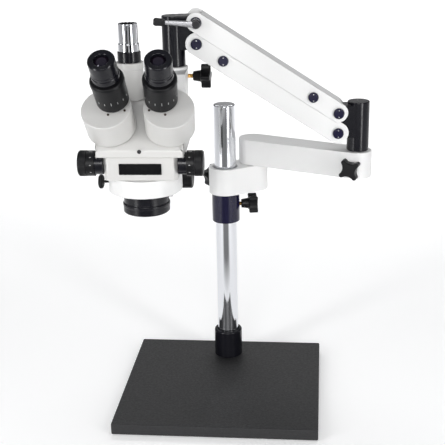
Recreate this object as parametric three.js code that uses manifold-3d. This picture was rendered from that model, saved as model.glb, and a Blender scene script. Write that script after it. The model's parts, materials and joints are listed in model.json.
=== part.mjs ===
// Trinocular stereo microscope on a jointed boom stand.
// Millimetres, +Z up. The origin is the centre of the base plate's underside,
// +X points right and +Y away from the person at the eyepieces.
// Each piece is one closed mesh; groups place the sub-assemblies.
import * as THREE from 'three';
import { mergeVertices } from 'three/addons/utils/BufferGeometryUtils.js';
import { ConvexGeometry } from 'three/addons/geometries/ConvexGeometry.js';
import Module from 'manifold-3d';

const wasm = await Module();
wasm.setup();

// ---------- driving dimensions ----------
const GAP = 0.3;                // clearance between pieces that touch
const PIN_PLAY = 0.35;          // radial play round a turning pin

const BASE = { width: 288, depth: 270, thick: 16, chamfer: 1.2 };
const FOOT = { radius: 11, height: 3.6, proud: 2, inset: 26 };

const POLE = { x: 0, y: 95, radius: 16, top: 418 };
const BASE_COLLAR = { radius: 21.5, top: 59.8 };
const SAFETY_COLLAR = { radius: 20.7, bottom: 239.5, top: 283.5 };
const BRACKET = { bottom: 283.8, top: 324, poleBoss: 24.4, hingeBoss: 21.2 };
const HINGE = { x: 40.4, y: 119.3, pin: 8 };
const ARM = { bottom: 324.4, top: 362.2, hingeEnd: 21.4, postEnd: 20.3 };
const RIGHT_POST = { x: 193.5, y: 52.7, top: 433, earTop: 428.5 };
const POST_RADIUS = 15.5;
const SPIGOT_RADIUS = 8;

// The parallel arm lies in a vertical plane through the right post. In that plane
// "reach" runs from the right post towards the left post and z is up.
const SWING_HEADING = 186.75;   // degrees from +X
const PIVOT_REACH = 31;         // post axis to its pivots
const BAR_LENGTH = 231.3;       // pivot to pivot
const BAR_PITCH = 33.31;        // degrees above level at rest
const PIVOT_LOW = 392.2;        // height of the right post's lower pivot
const PIVOT_SPACING = 28.9;     // between the two pivots of a post
const BAR_PLATE = 3;            // sheet thickness
const UPPER_BAR = { half: 25, up: 13.4, down: 12.6, webInset: 1 };
const LOWER_BAR = { half: 21.6, up: 14.9, down: 14.9, webInset: 40 };
const PIN = { radius: 4, head: 7.6, headThick: 4 };
const SPRING_BOLT_INSET = 42.5; // from the nearer pivot, along the bar
const LEFT_POST = { spigotBottom: 446, bottom: 487.3, top: 555.3, earTop: 554.3 };
const EAR = { half: 14, round: 9, proud: 7.4 };

// Focus mount: its own frame stands on the left post's axis, -Y towards the ring.
// The rack, its carriage and the ring lie on a line to the left of the post.
const MOUNT_TURN = 1;           // degrees
const RING_SIDE = -25.2;        // from the left post's axis to the ring's axis, along X
const RING_REACH = 131.7;       // and along -Y
const COLUMN = { half: 18.5, back: -10, front: -31, bottom: 318, top: 484.5 };
const SOCKET = { radius: 18.5, bottom: 461, top: 487 };
const RACK = { bottom: 320, top: 410, module: 1 };
const PINION = { y: -45.3, z: 344.6, teeth: 14, shaft: 4 };
const RING = { outer: 47.2, inner: 42.2, bottom: 352, top: 374.4 };
const FOCUS_KNOB = { radius: 18, inner: 31, outer: 51.6 };
const HOUSING_HALF = 28;

// Microscope: its own frame stands on the ring's axis, -Y towards the user.
const SCOPE_TURN = 2.2;         // degrees
const BODY = { half: 46.4, front: -43, back: 38, bottom: 375, top: 405.1, chamfer: 5, wall: 4.5 };
const BARREL_RADIUS = 41.8;
const HEAD = { half: 54.7, front: -46.5, back: 44, bottom: 405.4, lip: 416, top: 463, flank: 59 };
const ZOOM = { y: -32, z: 395, shaft: 4, hub: 13.9, knob: 16.2, inner: 57.5, split: 67.5, outer: 78.3 };
const DRUM = { x: 36.6, y: -18.6, z: 437.1, radius: 31.2, length: 38 };
const EYE = { tilt: 51.8, splay: 3, inward: 9.5, up: 7.4 };   // degrees and mm
const PHOTO = { x: -18, y: 30 };

// ---------- looks ----------
const look = (color, roughness, metalness) =>
  new THREE.MeshStandardMaterial({ color, roughness, metalness, flatShading: true });
const WHITE = look(0xe6e6e8, 0.4, 0);
const GREY = look(0xc4c3c0, 0.45, 0);
const BLACK = look(0x16161a, 0.45, 0);
const KNOB_BLACK = look(0x1c1c1f, 0.6, 0);
const NAVY = look(0x0d0f24, 0.4, 0.1);
const CHROME = look(0xd8d8de, 0.15, 1);
const STEEL = look(0xa9abb0, 0.35, 1);
const RUBBER = look(0x202020, 0.9, 0);
const GLASS = look(0x4a5a78, 0.05, 0);

// ---------- geometry helpers ----------
const radians = THREE.MathUtils.degToRad;

/** Merge shared corners, drop empty faces and turn the faces outward. */
function closed(geometry) {
  const bare = geometry.clone();
  for (const name of Object.keys(bare.attributes)) {
    if (name !== 'position') bare.deleteAttribute(name);
  }
  const merged = mergeVertices(bare, 1e-4);
  const place = merged.attributes.position;
  const corner = [0, 1, 2].map(() => new THREE.Vector3());
  const faces = [];
  let volume = 0;
  for (let i = 0; i < merged.index.count; i += 3) {
    const ids = [0, 1, 2].map((k) => merged.index.getX(i + k));
    if (new Set(ids).size < 3) continue;
    ids.forEach((id, k) => corner[k].fromBufferAttribute(place, id));
    volume += corner[0].dot(corner[1].clone().cross(corner[2]));
    faces.push(ids);
  }
  const ordered = volume < 0 ? faces.map(([a, b, c]) => [a, c, b]) : faces;
  const result = new THREE.BufferGeometry();
  result.setAttribute('position', place);
  result.setIndex(ordered.flat());
  return result;
}

function toSolid(geometry) {
  const mesh = closed(geometry);
  return new wasm.Manifold(new wasm.Mesh({
    numProp: 3,
    vertProperties: new Float32Array(mesh.attributes.position.array),
    triVerts: new Uint32Array(mesh.index.array),
  }));
}

function fromSolid(solid) {
  const { vertProperties, triVerts } = solid.getMesh();
  const geometry = new THREE.BufferGeometry();
  geometry.setAttribute('position', new THREE.Float32BufferAttribute(vertProperties, 3));
  geometry.setIndex(Array.from(triVerts));
  return geometry;
}

const join = (first, ...others) =>
  fromSolid(others.reduce((sum, other) => sum.add(toSolid(other)), toSolid(first)));
const cut = (first, ...tools) =>
  fromSolid(tools.reduce((left, tool) => left.subtract(toSolid(tool)), toSolid(first)));

/** A turned piece about +Z from [radius, z] points, given as a closed half section. */
function turned(section, sides = 24) {
  const points = section.map(([radius, z]) => new THREE.Vector2(radius, z));
  return new THREE.LatheGeometry(points, sides).rotateX(Math.PI / 2);
}

/** A turned tube: the section closes on itself away from the axis. */
const turnedRing = (section, sides = 24) => turned([...section, section[0]], sides);

/** A plain cylinder about +Z from z = low to z = high. */
const rod = (radius, low, high, sides = 20) =>
  turned([[0, low], [radius, low], [radius, high], [0, high]], sides);

const tube = (inner, outer, low, high, sides = 24) =>
  turnedRing([[inner, low], [outer, low], [outer, high], [inner, high]], sides);

const block = (x0, x1, y0, y1, z0, z1) =>
  new THREE.BoxGeometry(x1 - x0, y1 - y0, z1 - z0)
    .translate((x0 + x1) / 2, (y0 + y1) / 2, (z0 + z1) / 2);

/** An outline in XY, raised from z = low to z = high. */
const slab = (shape, low, high, curveSegments = 12) =>
  new THREE.ExtrudeGeometry(shape, { depth: high - low, bevelEnabled: false, curveSegments })
    .translate(0, 0, low);

/** An outline of points in XY. */
const outline = (points) => new THREE.Shape(points.map(([x, y]) => new THREE.Vector2(x, y)));

/** An outline of [y, z] points, spread from x = left to x = right. */
const sideSlab = (points, left, right) =>
  slab(outline(points), left, right).applyMatrix4(new THREE.Matrix4().makeBasis(
    new THREE.Vector3(0, 1, 0), new THREE.Vector3(0, 0, 1), new THREE.Vector3(1, 0, 0)));

/** Two discs and the straight flanks that join them. */
function link(x1, y1, r1, x2, y2, r2) {
  const along = Math.atan2(y2 - y1, x2 - x1);
  const lean = Math.acos((r1 - r2) / Math.hypot(x2 - x1, y2 - y1));
  const shape = new THREE.Shape();
  shape.absarc(x1, y1, r1, along + lean, along - lean + 2 * Math.PI, false);
  shape.absarc(x2, y2, r2, along - lean, along + lean, false);
  return shape;
}

/** A rod lying along +X, or along +Y, through the given point. */
const rodX = (radius, x0, x1, y, z, sides = 20) =>
  rod(radius, x0, x1, sides).rotateY(Math.PI / 2).translate(0, y, z);
const rodY = (radius, y0, y1, x, z, sides = 20) =>
  rod(radius, -y1, -y0, sides).rotateX(Math.PI / 2).translate(x, 0, z);

// ---------- the assembly tree ----------
const model = new THREE.Group();

function frameAt(parent, x, y, z, turnDegrees = 0) {
  const group = new THREE.Group();
  group.position.set(x, y, z);
  group.rotation.z = radians(turnDegrees);
  parent.add(group);
  return group;
}

function add(parent, name, geometry, material) {
  const mesh = new THREE.Mesh(closed(geometry), material);
  mesh.name = name;
  parent.add(mesh);
  return mesh;
}

// ---------- star knobs: a moulded four-point head on a threaded stud ----------
const KNOB = { tip: 16.5, tipRound: 3.2, valley: 9.3, head: 13, hub: 11, stud: 3 };

function starOutline() {
  const tipCentre = KNOB.tip - KNOB.tipRound;
  const hollowCentre = (tipCentre ** 2 - (KNOB.tipRound - KNOB.valley) ** 2)
    / (Math.SQRT2 * tipCentre + 2 * (KNOB.tipRound - KNOB.valley));
  const hollowRound = hollowCentre - KNOB.valley;
  const shape = new THREE.Shape();
  for (let k = 0; k < 4; k += 1) {
    const heading = k * Math.PI / 2;
    const nextHollow = heading + Math.PI / 4;
    const tip = [tipCentre * Math.cos(heading), tipCentre * Math.sin(heading)];
    const hollow = [hollowCentre * Math.cos(nextHollow), hollowCentre * Math.sin(nextHollow)];
    const meet = Math.atan2(hollow[1] - tip[1], hollow[0] - tip[0]);
    const spread = meet - heading;
    shape.absarc(tip[0], tip[1], KNOB.tipRound, heading - spread, heading + spread, false);
    const start = meet + Math.PI;
    const sweep = 2 * (nextHollow + Math.PI - start);
    shape.absarc(hollow[0], hollow[1], hollowRound, start, start + sweep, true);
  }
  return shape;
}

/** A star knob whose stud starts `inner` from the axis that it points away from. */
function addStarKnob(parent, name, { x, y, z, heading, inner, face, spin = 0 }) {
  const hubStart = face + GAP;
  const headStart = hubStart + KNOB.hub;
  const knob = join(
    rod(KNOB.stud, inner, hubStart + 1, 12),
    turned([[0, hubStart], [6.4, hubStart], [8, headStart + 1], [0, headStart + 1]], 16),
    slab(starOutline(), headStart, headStart + KNOB.head, 4));
  knob.rotateZ(radians(spin)).rotateY(Math.PI / 2);
  const placed = add(parent, name, knob, KNOB_BLACK);
  placed.position.set(x, y, z);
  placed.rotation.z = radians(heading);
}

/** The hole that takes a star knob's stud, from `inner` to `outer` along its heading. */
const studHole = ({ x, y, z, heading }, inner, outer) =>
  rod(KNOB.stud + PIN_PLAY, inner, outer, 12)
    .rotateY(Math.PI / 2).rotateZ(radians(heading)).translate(x, y, z);

// ---------- base ----------
function buildBase() {
  const { width, depth, thick, chamfer } = BASE;
  const w = width / 2;
  const d = depth / 2;
  const c = chamfer;
  const corners = [];
  for (const [sx, sy] of [[-1, -1], [1, -1], [1, 1], [-1, 1]]) {
    corners.push(new THREE.Vector3(sx * (w - c), sy * (d - c), 0));
    corners.push(new THREE.Vector3(sx * w, sy * d, c));
    corners.push(new THREE.Vector3(sx * w, sy * d, thick - c));
    corners.push(new THREE.Vector3(sx * (w - c), sy * (d - c), thick));
  }
  const pocketDepth = FOOT.height - FOOT.proud + GAP;
  const footSpots = [['front_left', -1, -1], ['front_right', 1, -1],
    ['back_left', -1, 1], ['back_right', 1, 1]].map(([place, sx, sy]) => ({
    place, x: sx * (w - FOOT.inset), y: sy * (d - FOOT.inset) }));
  const pockets = footSpots.map(({ x, y }) =>
    rod(FOOT.radius + GAP, -1, pocketDepth, 20).translate(x, y, 0));
  const screwHole = turned([[0, -1], [9.5, -1], [9.5, 8.5], [5.4, 8.5], [5.4, 20], [0, 20]], 20)
    .translate(POLE.x, POLE.y, 0);
  add(model, 'base_plate', cut(new ConvexGeometry(corners), screwHole, ...pockets), BLACK);
  for (const { place, x, y } of footSpots) {
    add(model, `foot_${place}`, rod(FOOT.radius, -FOOT.proud, pocketDepth - GAP, 20)
      .translate(x, y, 0), RUBBER);
  }
  add(model, 'pole_fixing_screw', turned([[0, 0.5], [8.8, 0.5], [8.8, 8.2], [5, 8.2],
    [5, 44], [0, 44]], 20).translate(POLE.x, POLE.y, 0), STEEL);
}

// ---------- pole and its collars ----------
function buildPole() {
  const pole = frameAt(model, POLE.x, POLE.y, 0);
  const r = POLE.radius;
  const low = BASE.thick + GAP;
  add(pole, 'pole', turned([[0, 50], [5.4, 50], [5.4, low], [r - 1, low], [r, low + 1], [r, POLE.top - 1.2],
    [r - 1.2, POLE.top], [0, POLE.top]], 32), CHROME);
  const inner = r + GAP;
  const outer = BASE_COLLAR.radius;
  add(pole, 'base_collar', turnedRing([[inner, low], [outer, low], [outer, BASE_COLLAR.top - 2],
    [outer - 2, BASE_COLLAR.top], [inner + 1.5, BASE_COLLAR.top], [inner, BASE_COLLAR.top - 1.5]],
    32), BLACK);
  const stud = { x: 0, y: 0, z: 264.2, heading: 11 };
  const collar = turnedRing([[inner, SAFETY_COLLAR.bottom],
    [SAFETY_COLLAR.radius - 1, SAFETY_COLLAR.bottom],
    [SAFETY_COLLAR.radius, SAFETY_COLLAR.bottom + 1], [SAFETY_COLLAR.radius, SAFETY_COLLAR.top],
    [inner, SAFETY_COLLAR.top]], 32);
  add(pole, 'safety_collar', cut(collar, studHole(stud, 10, 30)), NAVY);
  addStarKnob(pole, 'safety_collar_knob', { ...stud, inner: inner + 0.5,
    face: SAFETY_COLLAR.radius + 2.5, spin: 45 });
}

// ---------- bracket that carries the arm's hinge ----------
function buildBracket() {
  const { bottom, top } = BRACKET;
  const bushOuter = POLE.radius + GAP + 2.2;
  const stud = { x: POLE.x, y: POLE.y, z: 300, heading: 128 };
  const casting = slab(link(POLE.x, POLE.y, BRACKET.poleBoss, HINGE.x, HINGE.y,
    BRACKET.hingeBoss), bottom, top, 14);
  add(model, 'pole_bracket', cut(casting,
    rod(bushOuter + GAP, bottom - 5, top + 5, 32).translate(POLE.x, POLE.y, 0),
    rod(HINGE.pin + GAP, bottom + 5, top + 5, 24).translate(HINGE.x, HINGE.y, 0),
    studHole(stud, 10, 40)), WHITE);
  add(model, 'bracket_bush', tube(POLE.radius + GAP, bushOuter, bottom + 0.5, top - 3, 32)
    .translate(POLE.x, POLE.y, 0), STEEL);
  addStarKnob(model, 'bracket_knob', { ...stud, inner: bushOuter + 0.5,
    face: BRACKET.poleBoss, spin: 20 });
  add(model, 'arm_hinge_pin', rod(HINGE.pin, bottom + 5 + GAP, ARM.top - 7, 24)
    .translate(HINGE.x, HINGE.y, 0), STEEL);
}

// ---------- horizontal arm ----------
const ARM_STUD = { x: RIGHT_POST.x, y: RIGHT_POST.y, z: 344, heading: -106.4 };
const POST_SPIGOT = { radius: 10, bottom: 329 };

function buildArm() {
  const { bottom, top } = ARM;
  const casting = slab(link(HINGE.x, HINGE.y, ARM.hingeEnd, RIGHT_POST.x, RIGHT_POST.y,
    ARM.postEnd), bottom, top, 14);
  add(model, 'horizontal_arm', cut(casting,
    rod(HINGE.pin + PIN_PLAY, bottom - 5, top - 6.5, 28).translate(HINGE.x, HINGE.y, 0),
    rod(POST_SPIGOT.radius + PIN_PLAY, POST_SPIGOT.bottom - GAP, top + 5, 28)
      .translate(RIGHT_POST.x, RIGHT_POST.y, 0),
    studHole(ARM_STUD, 8, 30)), WHITE);
  addStarKnob(model, 'arm_knob', { ...ARM_STUD, inner: POST_SPIGOT.radius + 0.5,
    face: ARM.postEnd + 3, spin: 36 });
}

// ---------- parallel arm: posts, bars, pins and spring ----------
// Its frame stands on the right post's axis: +X is the reach, +Y faces the user.
const pitch = radians(BAR_PITCH);
const LOW_RIGHT = [PIVOT_REACH, PIVOT_LOW];
const LOW_LEFT = [PIVOT_REACH + BAR_LENGTH * Math.cos(pitch),
  PIVOT_LOW + BAR_LENGTH * Math.sin(pitch)];
const LEFT_REACH = LOW_LEFT[0] + PIVOT_REACH;
const raised = ([x, z]) => [x, z + PIVOT_SPACING];
const pinHole = ([x, z], half = 40) => rodY(PIN.radius + PIN_PLAY, -half, half, x, z, 12);

/** An outline drawn along the bar from its right pivot, placed as a plate facing +Y. */
function barPlate(points, pivot, y0, y1) {
  const shape = points instanceof THREE.Shape ? points : outline(points);
  const across = new THREE.Vector3(0, -1, 0);
  const along = new THREE.Vector3(Math.cos(pitch), 0, Math.sin(pitch));
  const up = new THREE.Vector3(-Math.sin(pitch), 0, Math.cos(pitch));
  return slab(shape, -y1, -y0, 8)
    .applyMatrix4(new THREE.Matrix4().makeBasis(along, up, across))
    .translate(pivot[0], 0, pivot[1]);
}

function buildBar(frame, name, bar, pivot, webLow, webHigh, webInset) {
  const round = (bar.up + bar.down) / 2;
  const middle = (bar.up - bar.down) / 2;
  const cheek = link(0, middle, round, BAR_LENGTH, middle, round);
  const web = [[1, webLow], [BAR_LENGTH - webInset, webLow], [BAR_LENGTH - webInset, webHigh],
    [1, webHigh]];
  const far = [pivot[0] + LOW_LEFT[0] - LOW_RIGHT[0], pivot[1] + LOW_LEFT[1] - LOW_RIGHT[1]];
  const inset = SPRING_BOLT_INSET;
  const boltAlong = name === 'upper_bar' ? inset : BAR_LENGTH - inset;
  const bolt = [pivot[0] + boltAlong * Math.cos(pitch), pivot[1] + boltAlong * Math.sin(pitch)];
  add(frame, name, cut(join(
    barPlate(cheek, pivot, bar.half - BAR_PLATE, bar.half),
    barPlate(cheek, pivot, -bar.half, BAR_PLATE - bar.half),
    barPlate(web, pivot, -bar.half, bar.half)),
  pinHole(pivot), pinHole(far), pinHole(bolt)), WHITE);
  return bolt;
}

/** A pin across the bar with a round cap at the front and a nut at the back. */
function addPin(frame, name, [x, z], half, head = PIN.head) {
  const front = half + GAP;
  addTurnedAcross(frame, name, [[0, -front - 3.6], [head - 1, -front - 3.6], [head - 1, -front],
    [PIN.radius, -front], [PIN.radius, front], [head, front],
    [head, front + PIN.headThick - 1], [head - 1, front + PIN.headThick],
    [0, front + PIN.headThick]], x, z, NAVY);
}

/** A turned piece whose axis runs along +Y of the frame. */
function addTurnedAcross(frame, name, section, x, z, material) {
  return add(frame, name, turned(section, 16).rotateX(-Math.PI / 2).translate(x, 0, z), material);
}

/** A post's ear: a plate that carries both pivots and rounds off beyond them. */
function ear(x, inward, low, high) {
  const { half, round, proud } = EAR;
  const upper = low + PIVOT_SPACING;
  const pivotX = x - inward * PIVOT_REACH;
  const edgeX = pivotX - inward * proud;
  const plate = (points) => slab(outline(points), -half, half).rotateX(Math.PI / 2);
  return [
    plate([[x, low - round], [pivotX, low - round], [pivotX, high], [x, high]]),
    plate([[pivotX, low], [edgeX, low], [edgeX, upper], [pivotX, upper]]),
    rodY(round, -half, half, pivotX, low, 20),
    rodY(Math.min(round, high - upper), -half, half, pivotX, upper, 20),
  ];
}

class SpringPath extends THREE.Curve {
  constructor(start, end, turns, radius) {
    super();
    Object.assign(this, { start, end, turns, radius });
    this.axis = end.clone().sub(start);
    this.side = new THREE.Vector3(0, 1, 0);
    this.rise = this.axis.clone().normalize().cross(this.side);
  }

  getPoint(t, target = new THREE.Vector3()) {
    const swell = this.radius * Math.min(1, t / 0.12, (1 - t) / 0.12);
    const angle = t * this.turns * 2 * Math.PI;
    return target.copy(this.start).addScaledVector(this.axis, t)
      .addScaledVector(this.side, swell * Math.sin(angle))
      .addScaledVector(this.rise, swell * Math.cos(angle));
  }
}

function buildParallelArm() {
  const frame = frameAt(model, RIGHT_POST.x, RIGHT_POST.y, 0, SWING_HEADING);
  const r = POST_RADIUS;
  const postBody = (low, top, spigot) => turned([[0, spigot.bottom], [spigot.radius, spigot.bottom],
    [spigot.radius, low], [r, low], [r, top - 2], [r - 2, top], [0, top]], 28);

  const rightLow = ARM.top + 0.5;
  add(frame, 'right_post', cut(
    join(postBody(rightLow, RIGHT_POST.top, POST_SPIGOT),
      ...ear(0, -1, PIVOT_LOW, RIGHT_POST.earTop)),
    pinHole(LOW_RIGHT), pinHole(raised(LOW_RIGHT))), BLACK);

  const upperBolt = buildBar(frame, 'upper_bar', UPPER_BAR, raised(LOW_RIGHT),
    UPPER_BAR.up - BAR_PLATE, UPPER_BAR.up, UPPER_BAR.webInset);
  const lowerBolt = buildBar(frame, 'lower_bar', LOWER_BAR, LOW_RIGHT,
    -LOWER_BAR.down, BAR_PLATE - LOWER_BAR.down, LOWER_BAR.webInset);

  addPin(frame, 'upper_right_pivot_pin', raised(LOW_RIGHT), UPPER_BAR.half);
  addPin(frame, 'lower_right_pivot_pin', LOW_RIGHT, LOWER_BAR.half);
  addPin(frame, 'upper_left_pivot_pin', raised(LOW_LEFT), UPPER_BAR.half);
  addPin(frame, 'lower_left_pivot_pin', LOW_LEFT, LOWER_BAR.half);
  addPin(frame, 'upper_spring_bolt', upperBolt, UPPER_BAR.half, 7.2);
  addPin(frame, 'lower_spring_bolt', lowerBolt, LOWER_BAR.half, 7.2);

  const from = new THREE.Vector3(upperBolt[0], 0, upperBolt[1]);
  const to = new THREE.Vector3(lowerBolt[0], 0, lowerBolt[1]);
  const step = to.clone().sub(from).normalize().multiplyScalar(PIN.radius + 2.5);
  const path = new SpringPath(from.add(step), to.sub(step), 14, 7.5);
  const wire = outline([[1.1, 0], [0, 1.1], [-1.1, 0], [0, -1.1]]);
  add(frame, 'counterbalance_spring', new THREE.ExtrudeGeometry(wire,
    { steps: 84, extrudePath: path, bevelEnabled: false }), STEEL);

  const leftSpigot = { radius: SPIGOT_RADIUS, bottom: LEFT_POST.spigotBottom };
  add(frame, 'left_post', cut(
    join(postBody(LEFT_POST.bottom, LEFT_POST.top, leftSpigot).translate(LEFT_REACH, 0, 0),
      ...ear(LEFT_REACH, 1, LOW_LEFT[1], LEFT_POST.earTop)),
    pinHole(LOW_LEFT), pinHole(raised(LOW_LEFT))), BLACK);
  buildLockLever(frame, raised(LOW_LEFT));
}

/** Clamp lever on the front end of the upper left pivot. */
function buildLockLever(frame, [x, z]) {
  const hubBack = UPPER_BAR.half + PIN.headThick + 2 * GAP;
  const hub = rodY(6.6, hubBack, hubBack + 11, x, z, 20);
  const stem = new ConvexGeometry([[0, -5.5, -4], [0, 5.5, -4], [0, -5.5, 4], [0, 5.5, 4],
    [40, -3, -2.6], [40, 3, -2.6], [40, -3, 2.6], [40, 3, 2.6]]
    .map((p) => new THREE.Vector3(...p)))
    .rotateY(radians(-5)).translate(x, hubBack + 6, z - 1);
  add(frame, 'lock_lever', join(hub, stem), STEEL);
  const grip = new ConvexGeometry([[40.4, -4.5, -4.2], [40.4, 4.5, -4.2], [40.4, -4.5, 4.2],
    [40.4, 4.5, 4.2], [56, -4, -5], [56, 4, -5], [56, -4, 5], [56, 4, 5]]
    .map((p) => new THREE.Vector3(...p)))
    .rotateY(radians(-5)).translate(x, hubBack + 6, z - 1);
  add(frame, 'lock_lever_grip', grip, BLACK);
}

// ---------- focus mount ----------
const UP = new THREE.Vector3(0, 0, 1);

function leftPostPlace() {
  return new THREE.Vector3(LEFT_REACH, 0, 0)
    .applyAxisAngle(UP, radians(SWING_HEADING))
    .add(new THREE.Vector3(RIGHT_POST.x, RIGHT_POST.y, 0));
}

const ringPlace = (post) => new THREE.Vector3(RING_SIDE, -RING_REACH, 0)
  .applyAxisAngle(UP, radians(MOUNT_TURN)).add(post);

function gearOutline(teeth, module, thickness) {
  const pitchRadius = teeth * module / 2;
  const points = [];
  for (let k = 0; k < teeth; k += 1) {
    const middle = 2 * Math.PI * k / teeth;
    for (const [lift, half] of [[-1.2, 0.62], [0.75, 0.3]]) {
      points.push([pitchRadius + lift * module, middle - half * thickness / pitchRadius]);
    }
    for (const [lift, half] of [[0.75, 0.3], [-1.2, 0.62]]) {
      points.push([pitchRadius + lift * module, middle + half * thickness / pitchRadius]);
    }
  }
  return outline(points.map(([r, a]) => [r * Math.cos(a), r * Math.sin(a)]));
}

function buildFocusMount(place) {
  const mount = frameAt(model, place.x, place.y, 0, MOUNT_TURN);
  const drive = frameAt(mount, RING_SIDE, 0, 0);
  const { half, back, front, bottom, top } = COLUMN;
  const stud = { x: 0, y: 0, z: 473.1, heading: -0.5 - MOUNT_TURN };
  const column = join(
    rod(SOCKET.radius, SOCKET.bottom, SOCKET.top, 32),
    sideSlab([[0, SOCKET.bottom], [0, top], [front - 4, top - 3], [front - 4, top - 22],
      [back, 444]], -SOCKET.radius, SOCKET.radius),
    block(RING_SIDE - half, 0, front, 12, LEFT_POST.spigotBottom, top - 6),
    block(RING_SIDE - half, RING_SIDE + half, front, back, bottom, top - 6));
  add(mount, 'focus_column', cut(column,
    rod(SPIGOT_RADIUS + PIN_PLAY, LEFT_POST.spigotBottom - GAP, 500, 24),
    studHole(stud, 6, 30)), WHITE);
  addStarKnob(mount, 'column_knob', { ...stud, inner: SPIGOT_RADIUS + 0.6,
    face: 25.5, spin: 0 });

  const rackFace = front - 6.5;
  const rackPitch = Math.PI * RACK.module;
  const teeth = [[front - GAP - 2, RACK.bottom], [front - GAP - 2, RACK.top]];
  const first = Math.ceil((RACK.bottom + 2 - PINION.z) / rackPitch);
  const last = Math.floor((RACK.top - 2 - PINION.z) / rackPitch);
  const pitchLine = PINION.y + PINION.teeth * RACK.module / 2;
  teeth.push([pitchLine + 1.3, RACK.top]);
  for (let k = last; k >= first; k -= 1) {
    const z = PINION.z + k * rackPitch;
    teeth.push([pitchLine + 1.2, z + 0.95], [pitchLine - 0.75, z + 0.35],
      [pitchLine - 0.75, z - 0.35], [pitchLine + 1.2, z - 0.95]);
  }
  teeth.push([pitchLine + 1.3, RACK.bottom]);
  const dovetail = slab(outline([[-9, front - GAP], [9, front - GAP], [13, rackFace],
    [-13, rackFace]]), RACK.bottom, RACK.top);
  add(drive, 'focus_rack', join(dovetail, sideSlab(teeth, -4, 4)), STEEL);

  const carriageFront = -RING_REACH + RING.inner + 3;
  const groove = slab(outline([[-9.8, front + 5], [9.8, front + 5], [9.4, front - GAP],
    [13.6, rackFace - 0.5], [-13.6, rackFace - 0.5], [-9.4, front - GAP]]), bottom - 9, 500);
  const ring = turned([[0, RING.bottom], [RING.outer - 2, RING.bottom],
    [RING.outer, RING.bottom + 2], [RING.outer, RING.top], [0, RING.top]], 36)
    .translate(0, -RING_REACH, 0);
  const thumb = { x: 0, y: -RING_REACH, z: 361, heading: 180.2 };
  add(drive, 'ring_holder', cut(
    join(ring, block(-HOUSING_HALF, HOUSING_HALF, carriageFront, front - 0.8, 326, RING.top)),
    rod(RING.inner, RING.bottom - 5, RING.top + 5, 40).translate(0, -RING_REACH, 0),
    rod(RING.inner + 3, 320, RING.bottom, 40).translate(0, -RING_REACH, 0),
    groove,
    block(-5.5, 5.5, pitchLine - 15.5, rackFace + 1, 310, 390),
    rodX(PINION.shaft + PIN_PLAY, -40, 40, PINION.y, PINION.z),
    rod(1.7 + GAP, 30, 60, 10).rotateY(Math.PI / 2).rotateZ(radians(thumb.heading))
      .translate(thumb.x, thumb.y, thumb.z)), WHITE);

  const gear = slab(gearOutline(PINION.teeth, RACK.module, rackPitch / 2 * 0.86), -4, 4, 1)
    .rotateY(Math.PI / 2).translate(0, PINION.y, PINION.z);
  add(drive, 'focus_pinion', join(gear,
    rodX(PINION.shaft, -FOCUS_KNOB.inner - 9, FOCUS_KNOB.inner + 9, PINION.y, PINION.z, 16)),
  STEEL);
  for (const [side, sign] of [['left', -1], ['right', 1]]) {
    const { radius, inner, outer } = FOCUS_KNOB;
    const bore = PINION.shaft + GAP;
    const knob = turned([[0, inner + 10], [bore, inner + 10], [bore, inner], [radius, inner],
      [radius, outer - 1.5], [radius - 1.5, outer], [0, outer]], 20)
      .rotateY(sign * Math.PI / 2).translate(0, PINION.y, PINION.z);
    add(drive, `focus_knob_${side}`, knob, KNOB_BLACK);
  }

  const thumbscrew = turned([[0, RING.inner + 0.5], [1.7, RING.inner + 0.5], [1.7, 55],
    [7.8, 55], [9.4, 56.4], [9.4, 59.4], [7.8, 60.8], [0, 60.8]], 20)
    .rotateY(Math.PI / 2);
  const screw = add(drive, 'ring_thumbscrew', thumbscrew, KNOB_BLACK);
  screw.position.set(thumb.x, thumb.y, thumb.z);
  screw.rotation.z = radians(thumb.heading);
}

// ---------- microscope ----------
function buildScopeBody(scope) {
  const { half, front, back, bottom, top, chamfer, wall } = BODY;
  const section = (inset, c) => outline([[-half + inset + c, front + inset],
    [half - inset - c, front + inset], [half - inset, front + inset + c], [half - inset, back - inset],
    [-half + inset, back - inset], [-half + inset, front + inset + c]]);
  const shell = join(slab(section(0, chamfer), bottom, top),
    turned([[0, RING.bottom + 0.6], [BARREL_RADIUS, RING.bottom + 0.6],
      [BARREL_RADIUS, bottom + 2], [0, bottom + 2]], 40));
  add(scope, 'zoom_body', cut(shell,
    slab(section(wall, 1), bottom + wall, top + 5),
    rod(27, RING.bottom - 5, bottom + 10, 28),
    rodX(ZOOM.shaft + PIN_PLAY, -half - 5, half + 5, ZOOM.y, ZOOM.z)), GREY);

  add(scope, 'front_badge', block(-26.6, 26.6, front - GAP - 0.8, front - GAP, 383, 397.2), BLACK);

  add(scope, 'objective_bezel', turnedRing([[26.6, RING.bottom + 6], [24.6, RING.bottom + 6],
    [24.6, 330], [27.4, 326], [27.4, 322.4], [28.8, 322.4], [30.1, 323.8], [30.1, 331],
    [30.6, 331.6], [30.6, 334.6], [29.1, 335.8], [29.1, RING.bottom - GAP],
    [26.6, RING.bottom - GAP]], 28), BLACK);
  add(scope, 'objective_lens', turned([[0, 326.4], [12, 327.2], [24.2, 330.6], [24.2, 335],
    [0, 335]], 28), GLASS);
}

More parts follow.
